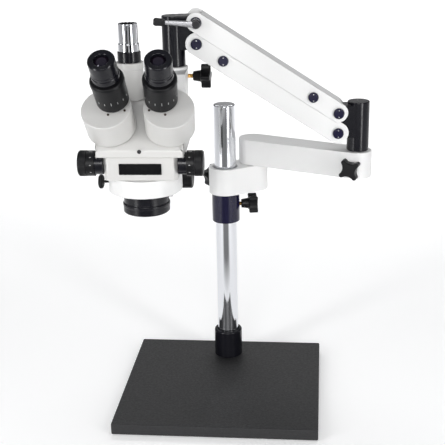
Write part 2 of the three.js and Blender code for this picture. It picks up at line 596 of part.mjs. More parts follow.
function buildZoom(scope) {
  const { y, z, shaft, hub, knob, inner, split, outer } = ZOOM;
  add(scope, 'zoom_shaft', rodX(shaft, -split, split, y, z, 16), STEEL);
  for (const [side, sign] of [['left', -1], ['right', 1]]) {
    const near = BODY.half + GAP;
    const bore = shaft + GAP;
    const piece = turned([[0, split + GAP], [bore, split + GAP], [bore, near], [hub, near],
      [hub, inner], [knob - 1, inner], [knob, inner + 1], [knob, split - 0.4], [knob - 0.6, split],
      [knob, split + 0.4], [knob, outer - 1.5], [knob - 1.8, outer], [0, outer]], 20)
      .rotateY(sign * Math.PI / 2).translate(0, y, z);
    add(scope, `zoom_knob_${side}`, piece, KNOB_BLACK);
  }
  const cell = (x) => tube(10, 13, 384, 392, 20).translate(x, 4, 0);
  add(scope, 'zoom_lens_carriage', join(block(-12, 12, 0, 8, 386, 390), cell(-22), cell(22)),
    STEEL);
}

const eyeAxis = (sign) => new THREE.Vector3(
  sign * Math.sin(radians(EYE.splay)),
  -Math.cos(radians(EYE.splay)) * Math.cos(radians(EYE.tilt)),
  Math.cos(radians(EYE.splay)) * Math.sin(radians(EYE.tilt)));

/** A frame on the head's slope: +Z along the eyepiece axis, +X level, +Y up the slope. */
function drumFrame(sign) {
  const along = eyeAxis(sign);
  const level = new THREE.Vector3(1, 0, 0).addScaledVector(along, -along.x).normalize();
  const upSlope = along.clone().cross(level);
  return new THREE.Matrix4().makeBasis(level, upSlope, along)
    .setPosition(sign * DRUM.x, DRUM.y, DRUM.z);
}

function buildHead(scope) {
  const { half, front, back, bottom, lip, top, flank } = HEAD;
  const slope = Math.tan(radians(90 - EYE.tilt));
  const slopeY = (z) => DRUM.y + (z - DRUM.z) / slope;
  const corners = [];
  for (const sign of [-1, 1]) {
    for (const [x, y, z] of [[half - 2, front, bottom], [half, front + 4, bottom + 3],
      [half - 2, front, lip - 1.5], [half, front + 4, lip + 1], [half - 2, back, bottom],
      [half, back - 4, bottom + 3], [flank, -14, 430], [flank, back - 14, 432],
      [flank - 16, slopeY(top - 4), top - 4], [flank - 22, slopeY(top) + 2, top],
      [flank - 24, back - 4, top], [flank - 14, back - 2, top - 14]]) {
      corners.push(new THREE.Vector3(sign * x, y, z));
    }
  }
  const lightPaths = [-1, 1].map((sign) =>
    rod(10, -70, 20, 24).applyMatrix4(drumFrame(sign)));
  const drumSeats = [-1, 1].map((sign) =>
    rod(60, 0, 90, 32).applyMatrix4(drumFrame(sign)));
  const hubNotches = [-1, 1].map((sign) =>
    rodX(ZOOM.hub + 0.8, sign < 0 ? -80 : BODY.half, sign < 0 ? -BODY.half : 80, ZOOM.y, ZOOM.z));
  add(scope, 'head_casing', cut(new ConvexGeometry(corners), ...drumSeats, ...lightPaths,
    ...hubNotches,
    rod(10, 446, 480, 24).translate(PHOTO.x, PHOTO.y, 0)), GREY);

  for (const [side, sign] of [['left', -1], ['right', 1]]) {
    buildEyeSide(scope, side, sign);
  }
}

function buildEyeSide(scope, side, sign) {
  const drum = new THREE.Group();
  drum.applyMatrix4(drumFrame(sign));
  scope.add(drum);
  const { radius, length } = DRUM;
  const neckX = -sign * EYE.inward;
  const neckY = EYE.up;
  const cup = turned([[0, length - 4], [radius - 3, length - 4], [radius - 3, 0.5],
    [radius - 0.8, 0.5], [radius, 1.3], [radius, length - 1.2], [radius - 1.2, length],
    [0, length]], 32);
  add(drum, `prism_housing_${side}`, cut(
    join(cup, rod(14.5, length - 2, length + 45, 24).translate(neckX, neckY, 0)),
    rod(13, length - 8, length + 50, 24).translate(neckX, neckY, 0)), GREY);
  const prism = sideSlab([[-12, 6], [12, 6], [12, 30]], -11, 11);
  add(drum, `prism_${side}`, prism, GLASS);

  const eye = new THREE.Group();
  eye.position.set(neckX, neckY, length);
  drum.add(eye);
  add(eye, `diopter_ring_${side}`, turnedRing([[14.8, 6], [19.6, 6], [20.2, 7], [20.8, 40],
    [21, 45.6], [20, 47.6], [14.8, 47.6]], 28), BLACK);
  add(eye, `eyepiece_${side}`, turnedRing([[11, 14], [12.7, 14], [12.7, 49.4], [17.2, 49.4],
    [17.4, 51], [17.2, 57], [16.4, 58], [16.35, 78], [15.2, 79.5], [9.6, 78.6], [9.2, 78.2],
    [9.2, 68], [11, 66]], 24), BLACK);
  add(eye, `eye_lens_${side}`, turned([[0, 69], [8.9, 70], [8.9, 74.5], [6, 76.2], [0, 77]], 20),
    GLASS);
}

function buildPhotoPort(scope) {
  const port = frameAt(scope, PHOTO.x, PHOTO.y, 0);
  const selectorZ = 471.8;
  const body = turnedRing([[10, HEAD.top + GAP], [17.3, HEAD.top + GAP], [17.3, 501],
    [17.8, 501.6], [17.8, 510.8], [12.7, 510.8], [12.7, 495], [10, 495]], 28);
  add(port, 'photo_port', cut(body,
    rod(2.5 + PIN_PLAY, 5, 30, 12).rotateY(Math.PI / 2).translate(0, 0, selectorZ)), WHITE);
  add(port, 'photo_clamp_ring', tube(12.7, 14.8, 511.1, 524.2, 28), BLACK);
  add(port, 'photo_tube', turnedRing([[10.8, 496], [12.3, 496], [12.3, 524.6], [13.4, 524.6],
    [13.4, 534], [12.3, 534.6], [12.3, 558.7], [11.8, 559.3], [10.8, 559.3]], 28), CHROME);
  const selector = turned([[0, 11], [2.5, 11], [2.5, 19.5], [6.4, 19.5], [6.4, 27], [5.4, 28],
    [0, 28]], 20).rotateY(Math.PI / 2).translate(0, 0, selectorZ);
  add(port, 'beam_selector', selector, KNOB_BLACK);
}

// ---------- build ----------
buildBase();
buildPole();
buildBracket();
buildArm();
buildParallelArm();
const leftPost = leftPostPlace();
buildFocusMount(leftPost);
const scopePlace = ringPlace(leftPost);
const scopeFrame = frameAt(model, scopePlace.x, scopePlace.y, 0, SCOPE_TURN);
buildScopeBody(scopeFrame);
buildZoom(scopeFrame);
buildHead(scopeFrame);
buildPhotoPort(scopeFrame);

export default model;
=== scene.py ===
"""Looks of a trinocular stereo microscope on a jointed boom stand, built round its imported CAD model.

Lengths are millimetres in the CAD part's axes until finish_mesh turns them into metres.
"""
import json
import math

import bmesh
import bpy
from mathutils import Matrix, Vector


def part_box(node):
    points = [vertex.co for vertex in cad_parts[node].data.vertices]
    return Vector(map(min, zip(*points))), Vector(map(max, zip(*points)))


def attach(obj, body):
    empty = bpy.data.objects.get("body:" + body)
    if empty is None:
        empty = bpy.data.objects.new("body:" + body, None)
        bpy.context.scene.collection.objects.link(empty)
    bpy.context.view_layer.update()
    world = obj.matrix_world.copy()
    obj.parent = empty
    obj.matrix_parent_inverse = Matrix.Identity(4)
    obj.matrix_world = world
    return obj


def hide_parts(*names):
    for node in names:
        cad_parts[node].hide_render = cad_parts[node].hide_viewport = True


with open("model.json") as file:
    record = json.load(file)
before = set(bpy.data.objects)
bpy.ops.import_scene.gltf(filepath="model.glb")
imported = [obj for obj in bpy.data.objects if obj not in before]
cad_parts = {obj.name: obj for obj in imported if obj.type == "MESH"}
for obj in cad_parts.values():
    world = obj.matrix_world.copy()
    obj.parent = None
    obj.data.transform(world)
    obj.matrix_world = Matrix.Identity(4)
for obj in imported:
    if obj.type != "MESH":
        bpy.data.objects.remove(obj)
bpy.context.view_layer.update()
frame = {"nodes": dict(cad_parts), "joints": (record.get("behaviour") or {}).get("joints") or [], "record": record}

MM = 0.001
UP = Vector((0, 0, 1))
JOINTS = {joint["name"]: joint for joint in frame["joints"]}
BODIES = frame["record"]["behaviour"]["bodies"]
BODY_OF = {node: body for body, nodes in BODIES.items() for node in nodes}
SLOT_OF = {part["node"]: part["material_slot"] for part in frame["record"]["subparts"]}


# ---------- places, in millimetres ----------
def joint_point(name):
    return Vector(JOINTS[name]["pos_m"]) / MM


def joint_axis(name):
    return Vector(JOINTS[name]["axis"]).normalized()


def placed(origin, z_axis=UP, x_hint=Vector((1, 0, 0))):
    """A frame at origin whose Z is z_axis and whose X lies as near x_hint as it can."""
    z = z_axis.normalized()
    x = (x_hint - x_hint.dot(z) * z).normalized()
    y = z.cross(x)
    return Matrix.Translation(origin) @ Matrix((x, y, z)).transposed().to_4x4()


def low_high(node):
    low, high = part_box(node)
    return low / MM, high / MM


def flat(point):
    return Vector((point.x, point.y, 0))


POLE = placed(flat(joint_point("bracket_swivel")))
HINGE = flat(joint_point("arm_swivel"))
RIGHT_POST = flat(joint_point("post_swivel"))
LEFT_POST = flat(joint_point("mount_swivel"))
ACROSS = joint_axis("arm_pitch")            # across the parallel arm, towards the front
REACH = ACROSS.cross(UP)                    # level, from the right post to the left post
MOUNT_X = joint_axis("focus_turn")
MOUNT = placed(LEFT_POST, UP, MOUNT_X)
SCOPE_X = joint_axis("zoom_turn")
SCOPE = placed(flat(joint_point("microscope_turn")), UP, SCOPE_X)
SIDES = {"left": -1, "right": 1}


def behind_joint(name, distance):
    """A frame on the joint's axis, distance behind its point, with Z along the axis."""
    axis = joint_axis(name)
    return placed(joint_point(name) - distance * axis, axis, SCOPE_X)


DRUM = {side: behind_joint(f"eye_distance_{side}", 10) for side in SIDES}
EYE = {side: behind_joint(f"diopter_turn_{side}", 22) for side in SIDES}
EYE_START = 38.0                            # the drum's front disc, along its axis


# ---------- materials ----------
def shader(name):
    material = bpy.data.materials.new(name)
    material.use_nodes = True
    return material, material.node_tree, material.node_tree.nodes["Principled BSDF"]


def node_of(tree, kind, **values):
    made = tree.nodes.new(kind)
    for key, value in values.items():
        if key in made.inputs:
            made.inputs[key].default_value = value
        else:
            setattr(made, key, value)
    return made


def noise_at(tree, scale, detail=3.0, stretch=None):
    """Noise in the piece's own space; stretch squeezes it along an axis for brushed or turned marks."""
    place = tree.nodes.new("ShaderNodeTexCoord")
    noise = node_of(tree, "ShaderNodeTexNoise", Scale=scale, Detail=detail)
    if stretch is None:
        tree.links.new(place.outputs["Object"], noise.inputs["Vector"])
    else:
        mapping = node_of(tree, "ShaderNodeMapping", Scale=stretch)
        tree.links.new(place.outputs["Object"], mapping.inputs["Vector"])
        tree.links.new(mapping.outputs["Vector"], noise.inputs["Vector"])
    return noise.outputs["Fac"]


def spread(tree, value, low, high, start=0.3, stop=0.7):
    """Maps a 0 to 1 pattern onto low to high."""
    ramp = node_of(tree, "ShaderNodeMapRange")
    ramp.inputs["From Min"].default_value = start
    ramp.inputs["From Max"].default_value = stop
    ramp.inputs["To Min"].default_value = low
    ramp.inputs["To Max"].default_value = high
    tree.links.new(value, ramp.inputs["Value"])
    return ramp.outputs["Result"]


def tint(tree, bsdf, value, colour, light, dark):
    """Base colour that drifts between dark and light shares of colour."""
    mix = node_of(tree, "ShaderNodeMix", data_type="RGBA")
    mix.inputs["A"].default_value = (*[channel * dark for channel in colour], 1)
    mix.inputs["B"].default_value = (*[min(1, channel * light) for channel in colour], 1)
    tree.links.new(value, mix.inputs["Factor"])
    tree.links.new(mix.outputs["Result"], bsdf.inputs["Base Color"])
    return mix


def bumps(tree, bsdf, value, distance, strength=1.0):
    bump = node_of(tree, "ShaderNodeBump", Strength=strength, Distance=distance)
    tree.links.new(value, bump.inputs["Height"])
    tree.links.new(bump.outputs["Normal"], bsdf.inputs["Normal"])


def painted_edge_highlight(tree, mix, bsdf, colour, amount):
    """Lightens the sharpest outer edges of a dark finish: a painted highlight where they catch the light."""
    sharp = spread(tree, node_of(tree, "ShaderNodeNewGeometry").outputs["Pointiness"], 0, amount, 0.53, 0.62)
    over = node_of(tree, "ShaderNodeMix", data_type="RGBA")
    over.inputs["B"].default_value = (*colour, 1)
    tree.links.new(sharp, over.inputs["Factor"])
    tree.links.new(mix.outputs["Result"], over.inputs["A"])
    tree.links.new(over.outputs["Result"], bsdf.inputs["Base Color"])


def paint(name, colour, roughness, relief=0.00004, coat=0.0):
    """Sprayed or powder-coated metal: a faint drift of tone, uneven gloss and a fine orange peel."""
    material, tree, bsdf = shader(name)
    tint(tree, bsdf, noise_at(tree, 9), colour, 1.03, 0.97)
    gloss = spread(tree, noise_at(tree, 160), roughness - 0.05, roughness + 0.06)
    tree.links.new(gloss, bsdf.inputs["Roughness"])
    bsdf.inputs["Coat Weight"].default_value = coat
    bsdf.inputs["Coat Roughness"].default_value = 0.15
    bumps(tree, bsdf, noise_at(tree, 900, 2), relief)
    return material


def dark_finish(name, colour, roughness, grain=1500, relief=0.00003, edge=0.15, coat=0.0, specular=0.36):
    """Black satin coat or moulded black plastic, with a painted highlight on its sharpest edges."""
    material, tree, bsdf = shader(name)
    mix = tint(tree, bsdf, noise_at(tree, 40), colour, 1.25, 0.8)
    # painted highlight: the sharpest edges are lightened
    painted_edge_highlight(tree, mix, bsdf, (0.07, 0.07, 0.08), edge)
    gloss = spread(tree, noise_at(tree, 220), roughness - 0.05, roughness + 0.07)
    tree.links.new(gloss, bsdf.inputs["Roughness"])
    bsdf.inputs["Specular IOR Level"].default_value = specular
    bsdf.inputs["Coat Weight"].default_value = coat
    bsdf.inputs["Coat Roughness"].default_value = 0.12
    bumps(tree, bsdf, noise_at(tree, grain, 2), relief)
    return material


def wrinkle_coat(name, colour):
    """The base plate's thick black coat: a dense hard texture with soft sparkle."""
    material, tree, bsdf = shader(name)
    place = tree.nodes.new("ShaderNodeTexCoord")
    cells = node_of(tree, "ShaderNodeTexVoronoi", Scale=620.0)
    tree.links.new(place.outputs["Object"], cells.inputs["Vector"])
    mix = tint(tree, bsdf, cells.outputs["Distance"], colour, 1.7, 0.75)
    # painted highlight: the sharpest edges of the coat are lightened
    painted_edge_highlight(tree, mix, bsdf, (0.10, 0.10, 0.10), 0.2)
    gloss = spread(tree, noise_at(tree, 300), 0.46, 0.62)
    tree.links.new(gloss, bsdf.inputs["Roughness"])
    bumps(tree, bsdf, cells.outputs["Distance"], 0.00016, 0.8)
    return material


def polished_metal(name, colour, roughness, stretch, relief=0.000004, grain=2500):
    """Turned or ground metal whose marks run one way."""
    material, tree, bsdf = shader(name)
    bsdf.inputs["Metallic"].default_value = 1
    marks = noise_at(tree, grain, 4, stretch)
    tint(tree, bsdf, marks, colour, 1.04, 0.94)
    tree.links.new(spread(tree, marks, roughness * 0.7, roughness * 1.5), bsdf.inputs["Roughness"])
    bumps(tree, bsdf, marks, relief)
    return material


def glass(name, colour):
    """Coated glass with a tinted coat, dark inside; at a slant its base colour turns dark plum, a painted
    reflection of the coating.
    """
    material, tree, bsdf = shader(name)
    bsdf.inputs["Coat Weight"].default_value = 0.3
    bsdf.inputs["Coat Tint"].default_value = (0.62, 0.55, 1.0, 1)
    bsdf.inputs["Specular IOR Level"].default_value = 0.5
    # the base colour follows the view angle: a painted reflection tint at a slant
    slant = node_of(tree, "ShaderNodeLayerWeight", Blend=0.35)
    mix = node_of(tree, "ShaderNodeMix", data_type="RGBA")
    mix.inputs["A"].default_value = (*colour, 1)
    mix.inputs["B"].default_value = (0.03, 0.014, 0.02, 1)
    tree.links.new(slant.outputs["Facing"], mix.inputs["Factor"])
    tree.links.new(mix.outputs["Result"], bsdf.inputs["Base Color"])
    tree.links.new(spread(tree, noise_at(tree, 60), 0.02, 0.05), bsdf.inputs["Roughness"])
    return material


MATERIALS = {
    "white_paint": paint("white_paint", (0.82, 0.82, 0.815), 0.42),
    "head_grey": paint("head_grey", (0.62, 0.615, 0.60), 0.36, relief=0.00002, coat=0.15),
    "black_metal": dark_finish("black_metal", (0.006, 0.006, 0.009), 0.20, relief=0.00001),
    "knob_plastic": dark_finish("knob_plastic", (0.007, 0.007, 0.008), 0.36, edge=0.2, specular=0.25),
    "navy_cap": dark_finish("navy_cap", (0.007, 0.006, 0.028), 0.16, relief=0.00001, edge=0.1, coat=0.2),
    "badge_black": dark_finish("badge_black", (0.003, 0.003, 0.004), 0.14, relief=0.00001, edge=0.0),
    "chrome": polished_metal("chrome", (0.80, 0.81, 0.84), 0.06, (1, 1, 6)),
    "steel": polished_metal("steel", (0.55, 0.55, 0.57), 0.26, (1, 1, 9), 0.00001, 900),
    "dark_steel": dark_finish("dark_steel", (0.02, 0.02, 0.022), 0.18, edge=0.3, coat=0.6),
    "rubber": dark_finish("rubber", (0.02, 0.02, 0.02), 0.78, 800, 0.00008, 0.05),
    "lens_glass": glass("lens_glass", (0.006, 0.006, 0.012)),
    "prism_glass": glass("prism_glass", (0.30, 0.34, 0.36)),
}
BASE_COAT = wrinkle_coat("base_coat", (0.009, 0.009, 0.010))
BRASS = polished_metal("brass_thread", (0.86, 0.52, 0.16), 0.26, (1, 1, 1), 0.00001, 1200)
WHITE_INK = paint("white_ink", (0.5, 0.5, 0.5), 0.5)
DARK_SCREW = dark_finish("dark_screw", (0.05, 0.03, 0.022), 0.3, edge=0.4)


# ---------- mesh building ----------
def finish_mesh(name, bm, place, body, material, nodes=(), edge=0.0, angle=35, segments=3):
    """Turns a bmesh in millimetres into a piece in metres that rides on its body.

    nodes are the CAD nodes that it replaces; edge is the width of its rounded edges, and angle the
    least angle in degrees that gets one.
    """
    bmesh.ops.recalc_face_normals(bm, faces=bm.faces)
    bmesh.ops.transform(bm, matrix=Matrix.Scale(MM, 4) @ place, verts=bm.verts)
    mesh = bpy.data.meshes.new(name)
    bm.to_mesh(mesh)
    bm.free()
    finish_object(name, mesh, body, material, nodes, edge, angle, segments)


def finish_object(name, mesh, body, material, nodes=(), edge=0.0, angle=35, segments=3):
    mesh.polygons.foreach_set("use_smooth", [True] * len(mesh.polygons))
    piece = bpy.data.objects.new(name, mesh)
    bpy.context.scene.collection.objects.link(piece)
    mesh.materials.clear()
    mesh.materials.append(material)
    if edge:
        bevel = piece.modifiers.new("edge", "BEVEL")
        bevel.width = edge * MM
        bevel.segments = segments
        bevel.limit_method = "ANGLE"
        bevel.angle_limit = math.radians(angle)
        bevel.use_clamp_overlap = False
    weights = piece.modifiers.new("shading", "WEIGHTED_NORMAL")
    weights.keep_sharp = True
    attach(piece, body)
    if nodes:
        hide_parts(*nodes)


def rounded(points, radius, closed):
    """The outline with each real corner replaced by a short curve."""
    result = []
    count = len(points)
    for i, point in enumerate(points):
        here = Vector(point)
        before, after = Vector(points[i - 1]), Vector(points[(i + 1) % count])
        if not closed and i in (0, count - 1):
            result.append(here)
            continue
        back, ahead = before - here, after - here
        if back.angle(ahead, math.pi) > math.radians(160):
            result.append(here)
            continue
        reach = min(radius, 0.45 * back.length, 0.45 * ahead.length)
        if reach < 1e-6:
            result.append(here)
            continue
        start, stop = here + back.normalized() * reach, here + ahead.normalized() * reach
        for t in (0, 0.25, 0.5, 0.75, 1):
            result.append(start * (1 - t) ** 2 + here * 2 * t * (1 - t) + stop * t ** 2)
    return result


def lathe(section, sides=96, soft=0.4, ribs=None):
    """A turned body about +Z. ribs = (low, high, count, depth) cuts a grip into that stretch."""
    closed = section[0][0] > 1e-6
    points = rounded(section, soft, closed)
    bm = bmesh.new()
    if ribs:
        sides = ribs[2] * 4
    columns = []
    for k in range(sides):
        angle = 2 * math.pi * k / sides
        column = []
        for point in points:
            radius, height = point
            if ribs and ribs[0] < height < ribs[1] and k % 4 in (0, 1):
                radius -= ribs[3]
            if radius < 1e-6:
                column.append(columns[0][len(column)] if columns else bm.verts.new((0, 0, height)))
            else:
                column.append(bm.verts.new((radius * math.cos(angle), radius * math.sin(angle), height)))
        columns.append(column)
    steps = len(points) if closed else len(points) - 1
    for k in range(sides):
        one, two = columns[k], columns[(k + 1) % sides]
        for i in range(steps):
            j = (i + 1) % len(points)
            ring = []
            for vert in (one[i], two[i], two[j], one[j]):
                if vert not in ring:
                    ring.append(vert)
            if len(ring) > 2:
                bm.faces.new(ring)
    return bm


def extrude(outline, low, high):
    """An XY outline raised from low to high."""
    bm = bmesh.new()
    bottom = [bm.verts.new((x, y, low)) for x, y in outline]
    top = [bm.verts.new((x, y, high)) for x, y in outline]
    count = len(outline)
    for i in range(count):
        j = (i + 1) % count
        bm.faces.new((bottom[i], bottom[j], top[j], top[i]))
    bm.faces.new(bottom[::-1])
    bm.faces.new(top)
    return bm


def hull(points):
    bm = bmesh.new()
    verts = [bm.verts.new(point) for point in points]
    bmesh.ops.convex_hull(bm, input=verts)
    loose = [vert for vert in bm.verts if not vert.link_faces]
    bmesh.ops.delete(bm, geom=loose, context="VERTS")
    bmesh.ops.dissolve_limit(bm, angle_limit=math.radians(1), verts=bm.verts, edges=bm.edges)
    return bm


def block(x0, x1, y0, y1, z0, z1):
    return extrude([(x0, y0), (x1, y0), (x1, y1), (x0, y1)], z0, z1)


def moved(bm, matrix):
    bmesh.ops.transform(bm, matrix=matrix, verts=bm.verts)
    return bm


def turn(degrees, axis):
    return Matrix.Rotation(math.radians(degrees), 4, axis)


def link(one, one_radius, two, two_radius, steps=24):
    """The outline of two discs and the straight flanks that join them."""
    one, two = Vector(one[:2]), Vector(two[:2])
    along = math.atan2(*(two - one).yx)
    lean = math.acos((one_radius - two_radius) / (two - one).length)
    points = []
    for centre, radius, start, stop in ((one, one_radius, along + lean, along - lean + 2 * math.pi),
                                        (two, two_radius, along - lean, along + lean)):
        for k in range(steps + 1):
            angle = start + (stop - start) * k / steps
            points.append((centre.x + radius * math.cos(angle), centre.y + radius * math.sin(angle)))
    return points


def combined(first, *steps):
    """Boolean steps on a bmesh: each step is ("UNION" or "DIFFERENCE", bmesh). Returns a bmesh."""
    def as_object(bm):
        bmesh.ops.remove_doubles(bm, verts=bm.verts, dist=1e-4)
        bmesh.ops.recalc_face_normals(bm, faces=bm.faces)
        mesh = bpy.data.meshes.new("step")
        bm.to_mesh(mesh)
        bm.free()
        made = bpy.data.objects.new("step", mesh)
        bpy.context.scene.collection.objects.link(made)
        return made

    body = as_object(first)
    tools = []
    for operation, bm in steps:
        tool = as_object(bm)
        tools.append(tool)
        change = body.modifiers.new("step", "BOOLEAN")
        change.operation = operation
        change.object = tool
        change.solver = "EXACT"
    bpy.context.view_layer.update()
    evaluated = body.evaluated_get(bpy.context.evaluated_depsgraph_get())
    result = bmesh.new()
    result.from_mesh(evaluated.to_mesh())
    for made in [body, *tools]:
        mesh = made.data
        bpy.data.objects.remove(made)
        bpy.data.meshes.remove(mesh)
    bmesh.ops.remove_doubles(result, verts=result.verts, dist=1e-4)
    return result


# ---------- turned CAD nodes, made again with fine round surfaces ----------
SAME_POINT = 0.04                           # mm, within which two points of a section are one


def section_of(node, direction):
    """The half section of a turned CAD node and the frame that it turns in."""
    mesh = frame["nodes"][node].data
    unique = {}
    for vert in mesh.vertices:
        unique.setdefault(tuple(round(c / MM, 2) for c in vert.co), vert.co / MM)
    origin = sum(unique.values(), Vector()) / len(unique)
    place = placed(origin, direction, UP if abs(direction.z) < 0.5 else Vector((1, 0, 0)))
    local = place.inverted()
    known = []

    def known_point(position):                  # its place in the list of section points
        radius = math.hypot(position.x, position.y)
        point = (radius if radius > 0.03 else 0.0, position.z)
        for k, other in enumerate(known):
            if abs(other[0] - point[0]) < SAME_POINT and abs(other[1] - point[1]) < SAME_POINT:
                return k
        known.append(point)
        return len(known) - 1

    here = [local @ (vert.co / MM) for vert in mesh.vertices]
    ids = [known_point(position) for position in here]
    joined = {k: set() for k in range(len(known))}
    for edge in mesh.edges:                     # edges that run along the section, not round the axis
        a, b = edge.vertices
        one, two = known[ids[a]], known[ids[b]]
        if ids[a] == ids[b] or abs(one[1] - two[1]) < SAME_POINT:
            continue
        across = here[a].xy.angle(here[b].xy, 0) if one[0] and two[0] else 0
        if across < 0.02:
            joined[ids[a]].add(ids[b])
            joined[ids[b]].add(ids[a])
    # flat faces have no edge along the section: join their inner and outer corners, or the axis
    ends = [k for k in joined if len(joined[k]) == 1 and known[k][0] > 0]
    for height in sorted({round(known[k][1], 1) for k in ends}):
        level = sorted((k for k in ends if round(known[k][1], 1) == height), key=lambda k: known[k][0])
        if len(level) % 2:
            flat_z = known[level[0]][1]
            centre = [k for k in joined if known[k][0] == 0 and abs(known[k][1] - flat_z) < 0.1]
            if not centre:
                known.append((0.0, flat_z))
                joined[len(known) - 1] = set()
                centre = [len(known) - 1]
            level.insert(0, centre[0])
        for one, two in zip(level[::2], level[1::2]):
            joined[one].add(two)
            joined[two].add(one)
    starts = [k for k in joined if known[k][0] == 0 and joined[k]]
    now = starts[0] if starts else next(k for k in joined if joined[k])
    path, last = [now], None
    while True:
        closing = path[0] if len(path) > 2 else None
        following = [k for k in joined[now] if k != last and (k not in path or k == closing)]
        if not following or following[0] == path[0]:
            break
        last, now = now, following[0]
        path.append(now)
    return [known[k] for k in path], place


def turned_node(node, direction, sides=96, soft=0.4):
    """The node's own section, turned with more sides and soft corners."""
    section, place = section_of(node, direction)
    bm = lathe(section, sides, soft)
    finish_mesh(f"{node}_fine", bm, place, BODY_OF[node], MATERIALS[SLOT_OF[node]], [node])


# ---------- stand ----------
PLATE_CORNER = 2.5
SAFETY_COLLAR = {"radius": 20.7, "bore": 16.3}
BRACKET = {"pole_boss": 24.4, "hinge_boss": 21.2, "bore": 18.8}
ARM = {"hinge_end": 21.4, "post_end": 20.28, "socket": 10.4, "socket_depth": 8}


def plug(radius, low, high, sides):
    """A plain sharp-edged cylinder about +Z, mostly used to cut a bore."""
    return lathe([(0, low), (radius, low), (radius, high), (0, high)], sides, 0)


def build_stand():
    low, high = low_high("base_plate")
    corners = [(low.x, low.y), (high.x, low.y), (high.x, high.y), (low.x, high.y)]
    plate = extrude([tuple(p) for p in rounded(corners, PLATE_CORNER, True)], low.z, high.z)
    finish_mesh("base_plate_coated", plate, Matrix(), BODY_OF["base_plate"], BASE_COAT,
                ["base_plate"], 1.1)
    for foot in ("front_left", "front_right", "back_left", "back_right"):
        turned_node(f"foot_{foot}", UP, soft=1.0, sides=48)
    turned_node("pole", UP, soft=0.9, sides=128)
    turned_node("base_collar", UP, soft=0.8)
    low, high = low_high("safety_collar")
    radius, bore = SAFETY_COLLAR["radius"], SAFETY_COLLAR["bore"]
    collar = lathe([(bore, low.z), (radius, low.z), (radius, high.z), (bore, high.z)], 112, 0.9)
    finish_mesh("safety_collar_fine", collar, POLE, "carriage", MATERIALS["navy_cap"], ["safety_collar"])


def build_bracket():
    low, high = low_high("pole_bracket")
    outline = link(POLE.translation, BRACKET["pole_boss"], HINGE, BRACKET["hinge_boss"], 40)
    bore = moved(plug(BRACKET["bore"], low.z - 5, high.z + 5, 96), POLE)
    bm = combined(extrude(outline, low.z, high.z), ("DIFFERENCE", bore))
    finish_mesh("pole_bracket_cast", bm, Matrix(), "bracket", MATERIALS["white_paint"],
                ["pole_bracket"], 0.8, 50)
    turned_node("bracket_bush", UP, soft=0.3)
    low, high = low_high("horizontal_arm")
    outline = link(HINGE, ARM["hinge_end"], RIGHT_POST, ARM["post_end"], 40)
    socket = moved(plug(ARM["socket"], high.z - ARM["socket_depth"], high.z + 5, 64),
                   Matrix.Translation(RIGHT_POST))
    bm = combined(extrude(outline, low.z, high.z), ("DIFFERENCE", socket))
    finish_mesh("horizontal_arm_cast", bm, Matrix(), "arm", MATERIALS["white_paint"],
                ["horizontal_arm"], 0.8, 50)


# ---------- star knobs ----------
KNOB_TIP, KNOB_TIP_ROUND, KNOB_VALLEY = 16.5, 3.2, 9.3
KNOB_HUB, KNOB_HEAD = 11.0, 13.0            # lengths along the knob's axis
STUD = {"length": 8.0, "pitch": 1.25, "root": 2.55, "crest": 3.0}
STAR_KNOBS = (                              # node, joint, start of the hub from the joint, spin in degrees
    ("safety_collar_knob", "carriage_knob_turn", 23.5, 45),
    ("bracket_knob", "bracket_knob_turn", 24.7, 20),
    ("arm_knob", "arm_knob_turn", 23.6, 36),
    ("column_knob", "column_knob_turn", 25.8, 0),
)


def star_outline():
    """Four rounded lobes joined by hollows that touch them without a corner."""
    steps = 12
    centre = KNOB_TIP - KNOB_TIP_ROUND
    drop = KNOB_TIP_ROUND - KNOB_VALLEY
    hollow = (centre ** 2 - drop ** 2) / (math.sqrt(2) * centre + 2 * drop)
    hollow_round = hollow - KNOB_VALLEY
    points = []
    for k in range(4):
        heading = k * math.pi / 2
        between = heading + math.pi / 4
        tip = Vector((math.cos(heading), math.sin(heading))) * centre
        pit = Vector((math.cos(between), math.sin(between))) * hollow
        meet = math.atan2(*(pit - tip).yx)
        sweep = (meet - heading) % (2 * math.pi)
        for i in range(steps + 1):
            angle = heading - sweep + 2 * sweep * i / steps
            points.append(tip + KNOB_TIP_ROUND * Vector((math.cos(angle), math.sin(angle))))
        start = meet + math.pi
        stop = start + 2 * ((between + 2 * math.pi - start) % (2 * math.pi) - math.pi)
        for i in range(1, steps):
            angle = start + (stop - start) * i / steps
            points.append(pit + hollow_round * Vector((math.cos(angle), math.sin(angle))))
    return [tuple(point) for point in points]


def build_star_knob(node, joint, hub_start, spin):
    """Moulded head with a dished face and a boss, a tapered hub, and the brass stud behind it."""
    place = placed(joint_point(joint), joint_axis(joint), UP) @ turn(spin, "Z")
    body = BODY_OF[node]
    head_start = hub_start + KNOB_HUB
    top = head_start + KNOB_HEAD
    star = extrude(star_outline(), head_start, top)
    hub = lathe([(0, hub_start), (6.4, hub_start), (8.2, head_start + 1), (0, head_start + 1)], 48, 0.8)
    bm = combined(star, ("UNION", hub))
    finish_mesh(f"{node}_moulded", bm, place, body, MATERIALS["knob_plastic"], [node], 1.5, 50, 4)
    boss = lathe([(0, top - 0.5), (6.2, top - 0.5), (6.2, top - 0.05), (5.4, top + 0.0), (5.0, top - 0.35),
                  (1.2, top - 0.35), (0, top - 0.35)], 48, 0.1)
    finish_mesh(f"{node}_boss", boss, place, body, MATERIALS["knob_plastic"])
    pitch, root, crest = STUD["pitch"], STUD["root"], STUD["crest"]
    inner = hub_start - STUD["length"]
    section = [(0, inner)]
    for k in range(int((hub_start - inner) / pitch)):
        section += [(root, inner + k * pitch), (crest, inner + (k + 0.5) * pitch)]
    section += [(root, hub_start + 0.5), (0, hub_start + 0.5)]
    finish_mesh(f"{node}_stud", lathe(section, 32, 0.1), place, body, BRASS)


def build_star_knobs():
    for node, joint, hub_start, spin in STAR_KNOBS:
        build_star_knob(node, joint, hub_start, spin)


